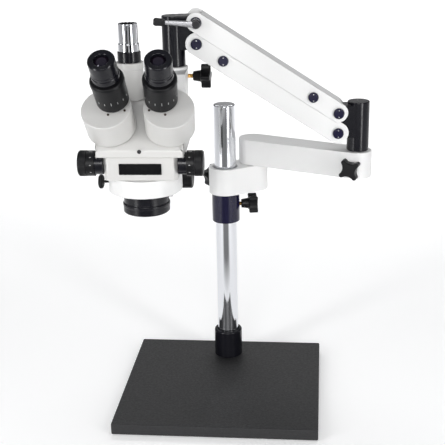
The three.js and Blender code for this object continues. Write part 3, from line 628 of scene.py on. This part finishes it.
# ---------- parallel arm ----------
BAR_PLATE = 3.0
BARS = {"upper_bar": {"half": 25.0, "up": 13.4, "down": 12.6, "web": (10.4, 13.4), "web_stop": 1.0},
        "lower_bar": {"half": 21.6, "up": 14.9, "down": 14.9, "web": (-14.9, -11.9), "web_stop": 40.0}}
PIVOT_SPACING = 28.9
POST_RADIUS = 15.5
EAR = {"half": 14.0, "round": 9.0, "proud": 7.4, "corner": 8.0}
RIGHT_SHOULDER = -29.5                      # the right post's shoulder, from its lower pivot
LEFT_SPIGOT = 41.3                          # length of the left post's spigot
SPRING = {"inset": 42.5, "end": 6.5, "turns": 30, "radius": 7.0, "wire": 0.9}
LEVER_STANDOFF = 4.6                        # from the upper bar's face to the lever's hub


def bar_frame(right, left):
    """Z across the arm, X along the bar from its right pivot."""
    return placed(right, -ACROSS, left - right), (left - right).length


def build_bar(name, right, left):
    size = BARS[name]
    place, length = bar_frame(right, left)
    middle, radius = (size["up"] - size["down"]) / 2, (size["up"] + size["down"]) / 2
    half = size["half"]
    side = link((0, middle), radius, (length, middle), radius, 28)
    near = extrude(side, half - BAR_PLATE, half)
    far = extrude(side, -half, BAR_PLATE - half)
    low, high = size["web"]
    web = block(1, length - size["web_stop"], low, high, 0.02 - half, half - 0.02)
    bm = combined(near, ("UNION", web), ("UNION", far))
    finish_mesh(f"{name}_folded", bm, place, BODY_OF[name], MATERIALS["white_paint"], [name], 0.7, 50, 3)


def build_pin(node):
    """Pivot pin: the turned shape, two bright steel dots on its front cap that are painted glints, and a washer
    ring under it.
    """
    turned_node(node, ACROSS, sides=64, soft=0.9)
    section, place = section_of(node, ACROSS)
    front = max(height for _, height in section)
    radius = max(r for r, _ in section)
    # two small bright steel discs on the cap stand in for glints: painted highlights
    for side in (-1, 1):
        dot = lathe([(0, front - 0.3), (0.9, front - 0.3), (0.9, front + 0.02), (0, front + 0.02)], 16, 0.1)
        spot = place @ Matrix.Translation((side * radius * 0.62, 0, 0))
        finish_mesh(f"{node}_dot_{'a' if side < 0 else 'b'}", dot, spot, BODY_OF[node], MATERIALS["steel"])
    seat = lathe([(radius + 0.1, front - 4.3), (radius + 1.5, front - 4.3), (radius + 1.5, front - 3.5),
                  (radius + 0.1, front - 3.5)], 64, 0.2)
    finish_mesh(f"{node}_washer", seat, place, BODY_OF[node], MATERIALS["white_paint"])


def build_post(node, axis_point, pivots, name):
    """Round post with softly rounded ends and the ear that carries both pivots."""
    low, high = low_high(node)
    inward = 1 if (pivots[0] - axis_point).dot(REACH) > 0 else -1
    spigot = 10.0 if node == "right_post" else 8.0
    start = pivots[0].z + RIGHT_SHOULDER if node == "right_post" else low.z + LEFT_SPIGOT
    body = lathe([(0, low.z), (spigot, low.z), (spigot, start), (POST_RADIUS, start), (POST_RADIUS, high.z),
                  (0, high.z)], 96, 1.6)
    reach = abs((pivots[0] - axis_point).dot(REACH))
    bottom, top = pivots[0].z - EAR["round"], pivots[1].z + EAR["proud"]
    wide = inward * (reach + EAR["proud"])
    corners = [(0, bottom), (wide, bottom), (wide, top), (0, top)]
    if inward < 0:
        corners.reverse()
    outline = [tuple(p) for p in rounded(corners, EAR["corner"], True)]
    ear = moved(extrude(outline, -EAR["half"], EAR["half"]), turn(90, "X"))
    local = placed(axis_point, UP, REACH)
    bm = combined(body, ("UNION", ear))
    finish_mesh(name, bm, local, BODY_OF[node], MATERIALS["black_metal"], [node], 0.6, 50)


def spring_coil(start, stop, turns, radius, wire):
    """A helical spring whose ends draw in towards its bolts."""
    curve = bpy.data.curves.new("counterbalance_spring_coil", "CURVE")
    curve.dimensions = "3D"
    curve.bevel_depth = wire * MM
    curve.bevel_resolution = 4
    steps = turns * 20
    axis = stop - start
    side = ACROSS
    rise = axis.normalized().cross(side)
    spline = curve.splines.new("POLY")
    spline.points.add(steps)
    for k in range(steps + 1):
        t = k / steps
        swell = radius * min(1, t / 0.1, (1 - t) / 0.1)
        angle = t * turns * 2 * math.pi
        point = start + axis * t + side * swell * math.sin(angle) + rise * swell * math.cos(angle)
        spline.points[k].co = (*(point * MM), 1)
    made = bpy.data.objects.new("counterbalance_spring_coil", curve)
    bpy.context.scene.collection.objects.link(made)
    mesh = bpy.data.meshes.new_from_object(made)
    bpy.data.objects.remove(made)
    finish_object("counterbalance_spring_wound", mesh, BODY_OF["counterbalance_spring"],
                  MATERIALS["steel"], ["counterbalance_spring"])


def build_lock_lever(pivot):
    """On the front end of the pivot: a turned hub with a cap screw, a flat stem and a paddle grip."""
    back = BARS["upper_bar"]["half"] + LEVER_STANDOFF
    front = back + 11
    middle = back + 6
    place = placed(pivot, ACROSS, REACH)        # its Y points down
    tilt = Matrix.Translation((0, 1, 0)) @ turn(-5, "Z")

    def flat_bar(stations):
        """A hull through stations of (distance, half height, half depth)."""
        corners = [(x, y * w, middle + z * d) for x, w, d in stations for y in (-1, 1) for z in (-1, 1)]
        return moved(hull(corners), tilt)

    hub = lathe([(0, back), (6.6, back), (6.6, front - 2), (5.2, front), (0, front)], 48, 0.8)
    finish_mesh("lock_lever_hub", hub, place, "lock_lever", MATERIALS["dark_steel"])
    screw = lathe([(0, front - 1), (3.4, front - 1), (3.4, front - 0.1), (1.6, front - 0.1),
                   (1.5, front - 0.8), (0, front - 0.8)], 32, 0.15)
    finish_mesh("lock_lever_screw", screw, place, "lock_lever", MATERIALS["steel"])
    stem = flat_bar(((4, 3.9, 4.9), (14, 3.2, 4.2), (41, 2.5, 3.0)))
    finish_mesh("lock_lever_forged", stem, place, "lock_lever", MATERIALS["steel"], ["lock_lever"], 1.1, 40)
    paddle = flat_bar(((40.4, 3.6, 3.8), (44, 4.6, 4.5), (53, 5.0, 4.4), (56, 3.9, 3.4)))
    finish_mesh("lock_lever_paddle", paddle, place, "lock_lever", MATERIALS["knob_plastic"],
                ["lock_lever_grip"], 1.4, 30, 4)


def build_parallel_arm():
    lower_right = joint_point("lower_bar_pitch")
    upper_right = joint_point("arm_pitch")
    upper_left = joint_point("left_post_level")
    lower_left = upper_left - UP * PIVOT_SPACING
    build_bar("upper_bar", upper_right, upper_left)
    build_bar("lower_bar", lower_right, lower_left)
    for node in ("upper_right_pivot_pin", "lower_right_pivot_pin", "upper_left_pivot_pin",
                 "lower_left_pivot_pin", "upper_spring_bolt", "lower_spring_bolt"):
        build_pin(node)
    build_post("right_post", RIGHT_POST, (lower_right, upper_right), "right_post_turned")
    build_post("left_post", LEFT_POST, (lower_left, upper_left), "left_post_turned")
    along = (upper_left - upper_right).normalized()
    start, stop = upper_right + along * SPRING["inset"], lower_left - along * SPRING["inset"]
    step = (stop - start).normalized() * SPRING["end"]
    spring_coil(start + step, stop - step, SPRING["turns"], SPRING["radius"], SPRING["wire"])
    build_lock_lever(upper_left)


# ---------- focus mount ----------
COLUMN = {"half": 18.5, "back": -10.0, "front": -31.0}
RING = {"outer": 47.2, "inner": 42.2, "bottom": 352.0, "relief": 3.0}
HOUSING_HALF = 28.0
GROOVE = {"half": 13.7, "back": -14.6}      # the dovetail's clearance in the ring holder
THUMB = {"stem": 1.7, "root": 7.6, "head": 9.2}


def build_focus_column(side):
    """The cast column with its socket round the left post. side is where its shaft stands, along X."""
    low, high = low_high("focus_column")
    half, back, front, top = COLUMN["half"], COLUMN["back"], COLUMN["front"], high.z - 2.5
    socket = lathe([(0, top - 23.5), (half, top - 23.5), (half, high.z), (0, high.z)], 96, 0)
    profile = [(0, top - 23.5), (0, top), (front - 4, top - 3), (front - 4, top - 22), (back, 444)]
    to_yz = Matrix(((0, 0, 1, 0), (1, 0, 0, 0), (0, 1, 0, 0), (0, 0, 0, 1)))
    cheek = moved(extrude(profile[::-1], -half, half), to_yz)
    shoulder = block(side - half, 0, front + 0.02, 12, 446, top - 6.02)
    shaft = block(side - half, side + half, front, back, low.z, top - 6)
    bm = combined(socket, ("UNION", cheek), ("UNION", shoulder), ("UNION", shaft))
    finish_mesh("focus_column_cast", bm, MOUNT, "focus_mount", MATERIALS["white_paint"],
                ["focus_column"], 1.3, 40)


def build_ring_holder(side, reach):
    """The ring that holds the microscope, on the housing that slides down the column's rack."""
    low, high = low_high("ring_holder")
    outer, inner, bottom, front = RING["outer"], RING["inner"], RING["bottom"], COLUMN["front"]
    relieved = inner + RING["relief"]
    ring_place = Matrix.Translation((0, -reach, 0))
    ring = moved(plug(outer, bottom, high.z - 0.02, 160), ring_place)
    housing = block(-HOUSING_HALF, HOUSING_HALF, relieved - reach, front - 0.8, low.z, high.z)
    bore = moved(plug(inner, bottom - 40, high.z + 5, 160), ring_place)
    clear = moved(plug(relieved, bottom - 40, bottom, 160), ring_place)
    groove = block(-GROOVE["half"], GROOVE["half"], front + GROOVE["back"], front + 4, low.z - 5, high.z + 5)
    cuts = [("DIFFERENCE", tool) for tool in (bore, clear, groove)]
    finish_mesh("ring_holder_cast", combined(housing, ("UNION", ring), *cuts),
                MOUNT @ Matrix.Translation((side, 0, 0)), "ring_holder", MATERIALS["white_paint"],
                ["ring_holder"], 0.7, 50)


def build_focus_mount():
    ring_spot = MOUNT.inverted() @ flat(joint_point("ring_thumbscrew_turn"))
    build_focus_column(ring_spot.x)
    build_ring_holder(ring_spot.x, -ring_spot.y)
    for side in SIDES:
        turned_node(f"focus_knob_{side}", MOUNT_X, soft=1.0)
    stem, root, head, start = THUMB["stem"], THUMB["root"], THUMB["head"], RING["inner"] + 0.5
    section = [(0, start), (stem, start), (stem, 55.0), (root, 55.0), (head, 56.4), (head, 59.2),
               (root, 60.8), (0, 60.8)]
    finish_mesh("ring_thumbscrew_knurled", lathe(section, 96, 0.6, (56.5, 59.1, 30, 0.35)),
                placed(joint_point("ring_thumbscrew_turn"), joint_axis("ring_thumbscrew_turn")),
                "ring_thumbscrew", MATERIALS["knob_plastic"], ["ring_thumbscrew"])


# ---------- microscope body ----------
ZOOM = {"y": -32.0, "z": 395.0}             # the zoom shaft
BADGE = {"half": 26.6, "bottom": 383.0, "top": 397.2, "thick": 1.0}
LIGHT_PATH = 27                             # radius of the way through the body
PRISM = {"radius": 31.2, "wall": 3, "across": 9.5, "up": 7.4}   # across, up: to the eyepiece's axis
NECK = {"inner": 13, "outer": 14.5, "length": 45}
SCREW_CIRCLE = 18.6
PHOTO_PLACE = (-18, 30, 0)


def build_zoom_body():
    half, front, back, bottom, top, corner = 46.4, -43.0, 38.0, 375.0, 405.1, 5.0
    ring_bottom, barrel = 352.6, 41.8
    outline = [(-half + corner, front), (half - corner, front), (half, front + corner), (half, back),
               (-half, back), (-half, front + corner)]
    case = extrude([tuple(p) for p in rounded(outline, 1.6, True)], bottom, top)
    neck = plug(barrel, ring_bottom, bottom + 2, 128)
    through = plug(LIGHT_PATH, ring_bottom - 5, bottom + 10, 96)
    bm = combined(case, ("UNION", neck), ("DIFFERENCE", through))
    finish_mesh("zoom_body_shell", bm, SCOPE, "microscope", MATERIALS["head_grey"],
                ["zoom_body"], 0.9, 50)
    wide, low, high = BADGE["half"], BADGE["bottom"], BADGE["top"]
    plate = rounded([(-wide, low), (wide, low), (wide, high), (-wide, high)], 0.8, True)
    badge = moved(extrude([tuple(p) for p in plate], 0.0, BADGE["thick"]), turn(90, "X"))
    finish_mesh("front_badge_plate", badge, SCOPE @ Matrix.Translation((0, front, 0)), "microscope",
                MATERIALS["badge_black"], ["front_badge"], 0.25, 40)
    bezel = [(26.6, 358.0), (24.6, 358.0), (24.6, 330), (27.4, 326), (27.4, 322.4), (28.8, 322.4),
             (30.1, 323.8), (30.1, 331.0), (30.6, 331.6), (30.6, 334.6), (29.1, 335.8), (29.1, 351.7),
             (26.6, 351.7)]
    finish_mesh("objective_bezel_turned", lathe(bezel, 128, 0.45), SCOPE, "microscope",
                MATERIALS["black_metal"], ["objective_bezel"])
    turned_node("objective_lens", UP, soft=0.2, sides=96)


def zoom_tick(angle, radius, low, high, width=0.7):
    """A short mark on a knob's number ring, angle degrees round the shaft."""
    bm = block(low, high, -width / 2, width / 2, radius - 0.25, radius + 0.04)
    return moved(bm, turn(angle, "X"))


def joined(parts):
    """One bmesh that holds all of parts."""
    mesh = bpy.data.meshes.new("parts")
    whole = bmesh.new()
    for part in parts:
        part.to_mesh(mesh)
        part.free()
        whole.from_mesh(mesh)
    bpy.data.meshes.remove(mesh)
    return whole


def build_zoom_knobs():
    """Each knob: hub, number ring with marks, and a finely ribbed grip with a bevelled end."""
    body, shaft, mark_radius, mark_count = "zoom_drive", 4.3, 16.0, 10
    on_shaft = SCOPE @ Matrix.Translation((0, ZOOM["y"], ZOOM["z"]))
    for side, sign in SIDES.items():
        node = f"zoom_knob_{side}"
        place = on_shaft @ turn(sign * 90, "Y")
        hub = [(shaft, 46.7), (13.9, 46.7), (13.9, 57.9), (shaft, 57.9)]
        finish_mesh(f"{node}_hub", lathe(hub, 96, 0.5), place, body, MATERIALS["black_metal"], [node])
        ring = [(shaft, 57.5), (mark_radius, 57.5), (mark_radius, 67.2), (shaft, 67.2)]
        finish_mesh(f"{node}_number_ring", lathe(ring, 128, 0.5), place, body,
                    MATERIALS["knob_plastic"])
        grip = [(0, 67.5), (16.2, 67.5), (16.2, 76.6), (14.6, 78.3), (0, 78.3)]
        finish_mesh(f"{node}_grip", lathe(grip, 96, 0.5, (68.4, 76.2, 72, 0.45)), place, body,
                    MATERIALS["knob_plastic"])
        marks = []
        for k in range(mark_count):
            stretch = (60.6, 62.6) if k % 5 else (60.0, 64.2)
            marks.append(zoom_tick(k * 360 / mark_count + 12, mark_radius, *stretch))
        mirror = Matrix.Scale(-1, 4, (1, 0, 0)) if sign < 0 else Matrix()
        finish_mesh(f"{node}_marks", joined(marks), on_shaft @ mirror, body, WHITE_INK)


def build_head_casing():
    """The casting that carries both drums: a hull, cut back behind each drum and round the zoom hubs."""
    half, front, back, bottom, lip, top, flank = 54.7, -46.5, 44.0, 405.4, 416.0, 463.0, 59.0
    drum_tilt = 51.8                            # degrees from the level to the drums' axes
    origin = SCOPE.inverted() @ DRUM["left"].translation
    rise = math.tan(math.radians(90 - drum_tilt))

    def at_slope(z):
        return origin.y + (z - origin.z) / rise

    right_side = ((half - 1, front, bottom), (half, front + 2, bottom), (half - 1, front, lip - 1),
                  (half, front + 4, lip + 1), (half - 1, back, bottom), (half, back - 3, bottom + 1),
                  (flank, -14, 430), (flank, back - 14, 432), (flank - 16, at_slope(top - 4), top - 4),
                  (flank - 22, at_slope(top) + 2, top), (flank - 24, back - 4, top),
                  (flank - 14, back - 2, top - 14))
    cutters = []
    for side in SIDES:
        seat = plug(60, 0, 90, 64)
        cutters.append(("DIFFERENCE", moved(seat, SCOPE.inverted() @ DRUM[side])))
    for sign in SIDES.values():
        notch = Matrix.Translation((0, ZOOM["y"], ZOOM["z"])) @ turn(sign * 90, "Y")
        cutters.append(("DIFFERENCE", moved(plug(14.7, 46.4, 80, 48), notch)))
    bm = combined(hull([(sign * x, y, z) for sign in SIDES.values() for x, y, z in right_side]), *cutters)
    finish_mesh("head_casing_cast", bm, SCOPE, "microscope", MATERIALS["head_grey"],
                ["head_casing"], 1.6, 22, 4)
    screw_place = SCOPE @ Matrix.Translation((0.3, front, 413.4)) @ turn(90, "X")
    build_slotted_screw("head_screw", screw_place, 2.6, "microscope", MATERIALS["dark_steel"])


def build_slotted_screw(name, place, radius, body, material):
    """A small cheese-head screw whose slot is cut across its face."""
    head = lathe([(0, -0.8), (radius, -0.8), (radius, 0.8), (0, 0.8)], 32, 0.35)
    slot = block(-radius * 1.2, radius * 1.2, -0.3, 0.3, 0.25, 2)
    bm = combined(head, ("DIFFERENCE", moved(slot, turn(35, "Z"))))
    finish_mesh(name, bm, place, body, material)


def build_prism_housing(side):
    """A drum-shaped cup that turns on the head, the eyepiece's neck and two small screws beside it."""
    sign = SIDES[side]
    body = f"prism_box_{side}"
    length, radius = EYE_START, PRISM["radius"]
    wall = radius - PRISM["wall"]
    cup = lathe([(0, length - 4), (wall, length - 4), (wall, 0.5), (radius, 0.5),
                 (radius, length), (0, length)], 160, 1.4)
    finish_mesh(f"prism_housing_{side}_shell", cup, DRUM[side], body, MATERIALS["head_grey"],
                [f"prism_housing_{side}"])
    neck_x, neck_y = -sign * PRISM["across"], PRISM["up"]
    low, high = length - 2, length + NECK["length"]
    neck = lathe([(NECK["inner"], low), (NECK["outer"], low), (NECK["outer"], high), (NECK["inner"], high)],
                 96, 0.3)
    neck_place = DRUM[side] @ Matrix.Translation((neck_x, neck_y, 0))
    finish_mesh(f"prism_housing_{side}_neck", neck, neck_place, body, MATERIALS["black_metal"])
    for k, angle in enumerate((-107.7, -39.9)):
        heading = math.radians(angle if sign < 0 else -180 - angle)
        spot = DRUM[side] @ Matrix.Translation((neck_x + SCREW_CIRCLE * math.cos(heading),
                                                neck_y + SCREW_CIRCLE * math.sin(heading), length + 0.2))
        build_slotted_screw(f"prism_housing_{side}_screw_{k + 1}", spot, 1.5, body, DARK_SCREW)


def diopter_mark(k, count):
    """One of the marks round the foot of the diopter ring, laid on its taper."""
    foot, foot_radius, widening, length = 7.6, 20.2, 0.5, 30.4
    low, high = (20.0, 23.0) if k % 4 else (20.0, 24.6)
    mark = moved(block(-0.3, 0.3, low, high, 0, 0.35), turn(90, "X"))
    radius = foot_radius + (low - foot) * widening / length
    lean = math.degrees(math.atan(widening / length))
    mark = moved(mark, Matrix.Translation((0, -radius + 0.22, 0)) @ turn(lean, "X"))
    return moved(mark, turn(k * 360 / count + 8, "Z"))


def build_eyepieces(side):
    """The diopter ring with its marks, and the eyepiece that it carries."""
    place = EYE[side]
    body = f"diopter_{side}"
    ring = [(14.8, 6.0), (19.4, 6.0), (20.2, 7.6), (20.7, 38.0), (21.0, 39.2), (21.0, 44.8), (19.6, 47.6),
            (14.8, 47.6)]
    finish_mesh(f"diopter_ring_{side}_grip", lathe(ring, 128, 0.7), place, body, MATERIALS["knob_plastic"],
                [f"diopter_ring_{side}"])
    marks = [diopter_mark(k, 16) for k in range(16)]
    finish_mesh(f"diopter_ring_{side}_marks", joined(marks), place, body, WHITE_INK)
    body = f"eyepiece_{side}"
    shell = [(11, 14), (12.7, 14), (12.7, 49.4), (17.2, 49.4), (17.4, 51), (17.2, 56.6), (16.5, 57.6),
             (16.5, 60.4), (16.2, 60.9), (16.2, 61.7), (16.5, 62.2), (16.4, 77.8), (15.2, 79.5), (9.7, 78.6),
             (9.2, 78.0), (9.2, 68), (11, 66)]
    finish_mesh(f"eyepiece_{side}_shell", lathe(shell, 128, 0.4), place, body, MATERIALS["black_metal"],
                [f"eyepiece_{side}"])
    turned_node(f"eye_lens_{side}", joint_axis(f"diopter_turn_{side}"), soft=0.2, sides=64)


def build_photo_port():
    place = SCOPE @ Matrix.Translation(PHOTO_PLACE)
    low, high = low_high("photo_port")
    port = [(10, low.z), (17.3, low.z), (17.3, 501.0), (17.0, 501.3), (17.0, 501.9), (17.8, 502.4),
            (17.8, high.z), (12.7, high.z), (12.7, 495), (10, 495)]
    finish_mesh("photo_port_turned", lathe(port, 128, 0.5), place, "microscope", MATERIALS["head_grey"],
                ["photo_port"])
    turned_node("photo_clamp_ring", UP, soft=0.7, sides=96)
    turned_node("photo_tube", UP, soft=0.35, sides=128)
    turned_node("beam_selector", SCOPE_X, soft=0.7, sides=48)


# ---------- what stays as it is ----------
def finish_cad_nodes():
    """Every CAD piece gets a real material: the inner ones are seen as they are."""
    for name, piece in frame["nodes"].items():
        piece.data.materials.clear()
        piece.data.materials.append(MATERIALS[SLOT_OF[name]])


# ---------- studio ----------
FLOOR_DROP = 2.0                            # the feet stand this far below the plate's underside
FLOOR = {"half": 6000, "front": -4000, "bend": 2500, "round": 900, "top": 6000}
CAMERA = {"place": Vector((141.9, -1322.5, 734.3)), "pitch": 19.739, "yaw": 4.761, "roll": -0.770,
          "lens": 80.3, "shift": (-0.0438, 0.0153)}


def build_camera():
    data = bpy.data.cameras.new("camera")
    data.lens = CAMERA["lens"]
    data.sensor_width = 36
    data.shift_x, data.shift_y = CAMERA["shift"]
    data.clip_start, data.clip_end = 0.05, 50
    camera = bpy.data.objects.new("camera", data)
    bpy.context.scene.collection.objects.link(camera)
    turned_to = turn(CAMERA["yaw"], "Z") @ turn(90 - CAMERA["pitch"], "X") @ turn(CAMERA["roll"], "Z")
    camera.matrix_world = Matrix.Translation(CAMERA["place"] * MM) @ turned_to
    bpy.context.scene.camera = camera


def floor_paper():
    """White paper that glows faintly where it is white, greyer in a short wedge in front of the object and high on
    the backdrop.
    """
    material, tree, bsdf = shader("floor_paper")
    place = tree.nodes.new("ShaderNodeTexCoord")
    parts = tree.nodes.new("ShaderNodeSeparateXYZ")
    tree.links.new(place.outputs["Object"], parts.inputs["Vector"])

    def math_node(operation, first, second):
        """first and second are numbers or the outputs of other nodes."""
        made = node_of(tree, "ShaderNodeMath", operation=operation)
        for socket, value in zip(made.inputs, (first, second)):
            if isinstance(value, (int, float)):
                socket.default_value = value
            else:
                tree.links.new(value, socket)
        return made.outputs["Value"]

    # each pattern below is 1 where the paper is white: far enough aside, near, far and low
    aside = math_node("ABSOLUTE", parts.outputs["X"], 0)
    ahead = math_node("MAXIMUM", math_node("SUBTRACT", 0.1, parts.outputs["Y"]), 0.01)
    off_axis = spread(tree, math_node("DIVIDE", aside, ahead), 0, 1, 0.4, 0.75)
    near = spread(tree, parts.outputs["Y"], 0, 1, -0.38, -0.2)
    low = spread(tree, parts.outputs["Z"], 1, 0, 0.3, 0.9)
    far = spread(tree, parts.outputs["Y"], 1, 0, -2.3, -1.5)
    white = math_node("MULTIPLY", math_node("MAXIMUM", off_axis, math_node("MAXIMUM", near, far)), low)
    tint(tree, bsdf, white, (0.94, 0.94, 0.94), 1, 0.25)
    # the white parts glow faintly: painted light from paper that is no lamp
    bsdf.inputs["Emission Color"].default_value = (1, 1, 1, 1)
    tree.links.new(spread(tree, white, 0, 0.2, 0, 1), bsdf.inputs["Emission Strength"])
    bsdf.inputs["Roughness"].default_value = 0.9
    bsdf.inputs["Specular IOR Level"].default_value = 0.1
    return material


def build_floor():
    """A pale floor that curves up into a backdrop, far behind the object."""
    floor_z, bend, radius = -FLOOR_DROP, FLOOR["bend"], FLOOR["round"]
    profile = [(FLOOR["front"], floor_z), (bend, floor_z)]
    for k in range(1, 13):
        angle = math.pi / 2 * k / 12
        profile.append((bend + radius * math.sin(angle), floor_z + radius * (1 - math.cos(angle))))
    profile.append((bend + radius, FLOOR["top"]))
    bm = bmesh.new()
    rows = [[bm.verts.new((x * MM, y * MM, z * MM)) for y, z in profile]
            for x in (-FLOOR["half"], FLOOR["half"])]
    for i in range(len(profile) - 1):
        bm.faces.new((rows[0][i], rows[0][i + 1], rows[1][i + 1], rows[1][i]))
    mesh = bpy.data.meshes.new("floor")
    bm.to_mesh(mesh)
    bm.free()
    floor = bpy.data.objects.new("floor", mesh)
    bpy.context.scene.collection.objects.link(floor)
    floor.data.materials.append(floor_paper())


# name, place, target, width, height (metres) and power (watts)
LIGHTS = (
    ("softbox_left", (-0.82, -0.88, 0.58), (0, 0, 0.40), 0.2, 1.1, 6.6),
    ("softbox_right", (0.86, -0.84, 0.58), (0, 0, 0.40), 0.2, 1.1, 6.4),
    ("front_fill", (0.1, -2.9, 1.1), (0, 0, 0.3), 1.4, 0.9, 34),
    ("overhead", (0, 0.2, 2.4), (0, 0.1, 0.3), 2.0, 2.0, 1),
    ("backdrop_wash", (0, 1.6, 2.3), (0, 3.0, 0), 4.0, 1.6, 72),
)


def area_light(name, place, target, width, height, power):
    data = bpy.data.lights.new(name, "AREA")
    data.shape = "RECTANGLE"
    data.size, data.size_y = width, height
    data.energy = power
    lamp = bpy.data.objects.new(name, data)
    bpy.context.scene.collection.objects.link(lamp)
    lamp.location = place
    lamp.rotation_euler = (Vector(target) - Vector(place)).to_track_quat("-Z", "Y").to_euler()


def build_lights():
    """Two narrow softboxes, a fill behind the camera, a faint overhead and a wash on the backdrop."""
    world = bpy.data.worlds.new("studio")
    bpy.context.scene.world = world
    world.use_nodes = True
    world.node_tree.nodes["Background"].inputs["Color"].default_value = (0.93, 0.95, 1, 1)
    world.node_tree.nodes["Background"].inputs["Strength"].default_value = 0.16
    for light in LIGHTS:
        area_light(*light)
    bpy.context.scene.view_settings.view_transform = "Standard"


build_camera()
finish_cad_nodes()
build_stand()
build_bracket()
build_star_knobs()
build_parallel_arm()
build_focus_mount()
build_zoom_body()
build_zoom_knobs()
build_head_casing()
for eye_side in SIDES:
    build_prism_housing(eye_side)
    build_eyepieces(eye_side)
build_photo_port()
build_floor()
build_lights()
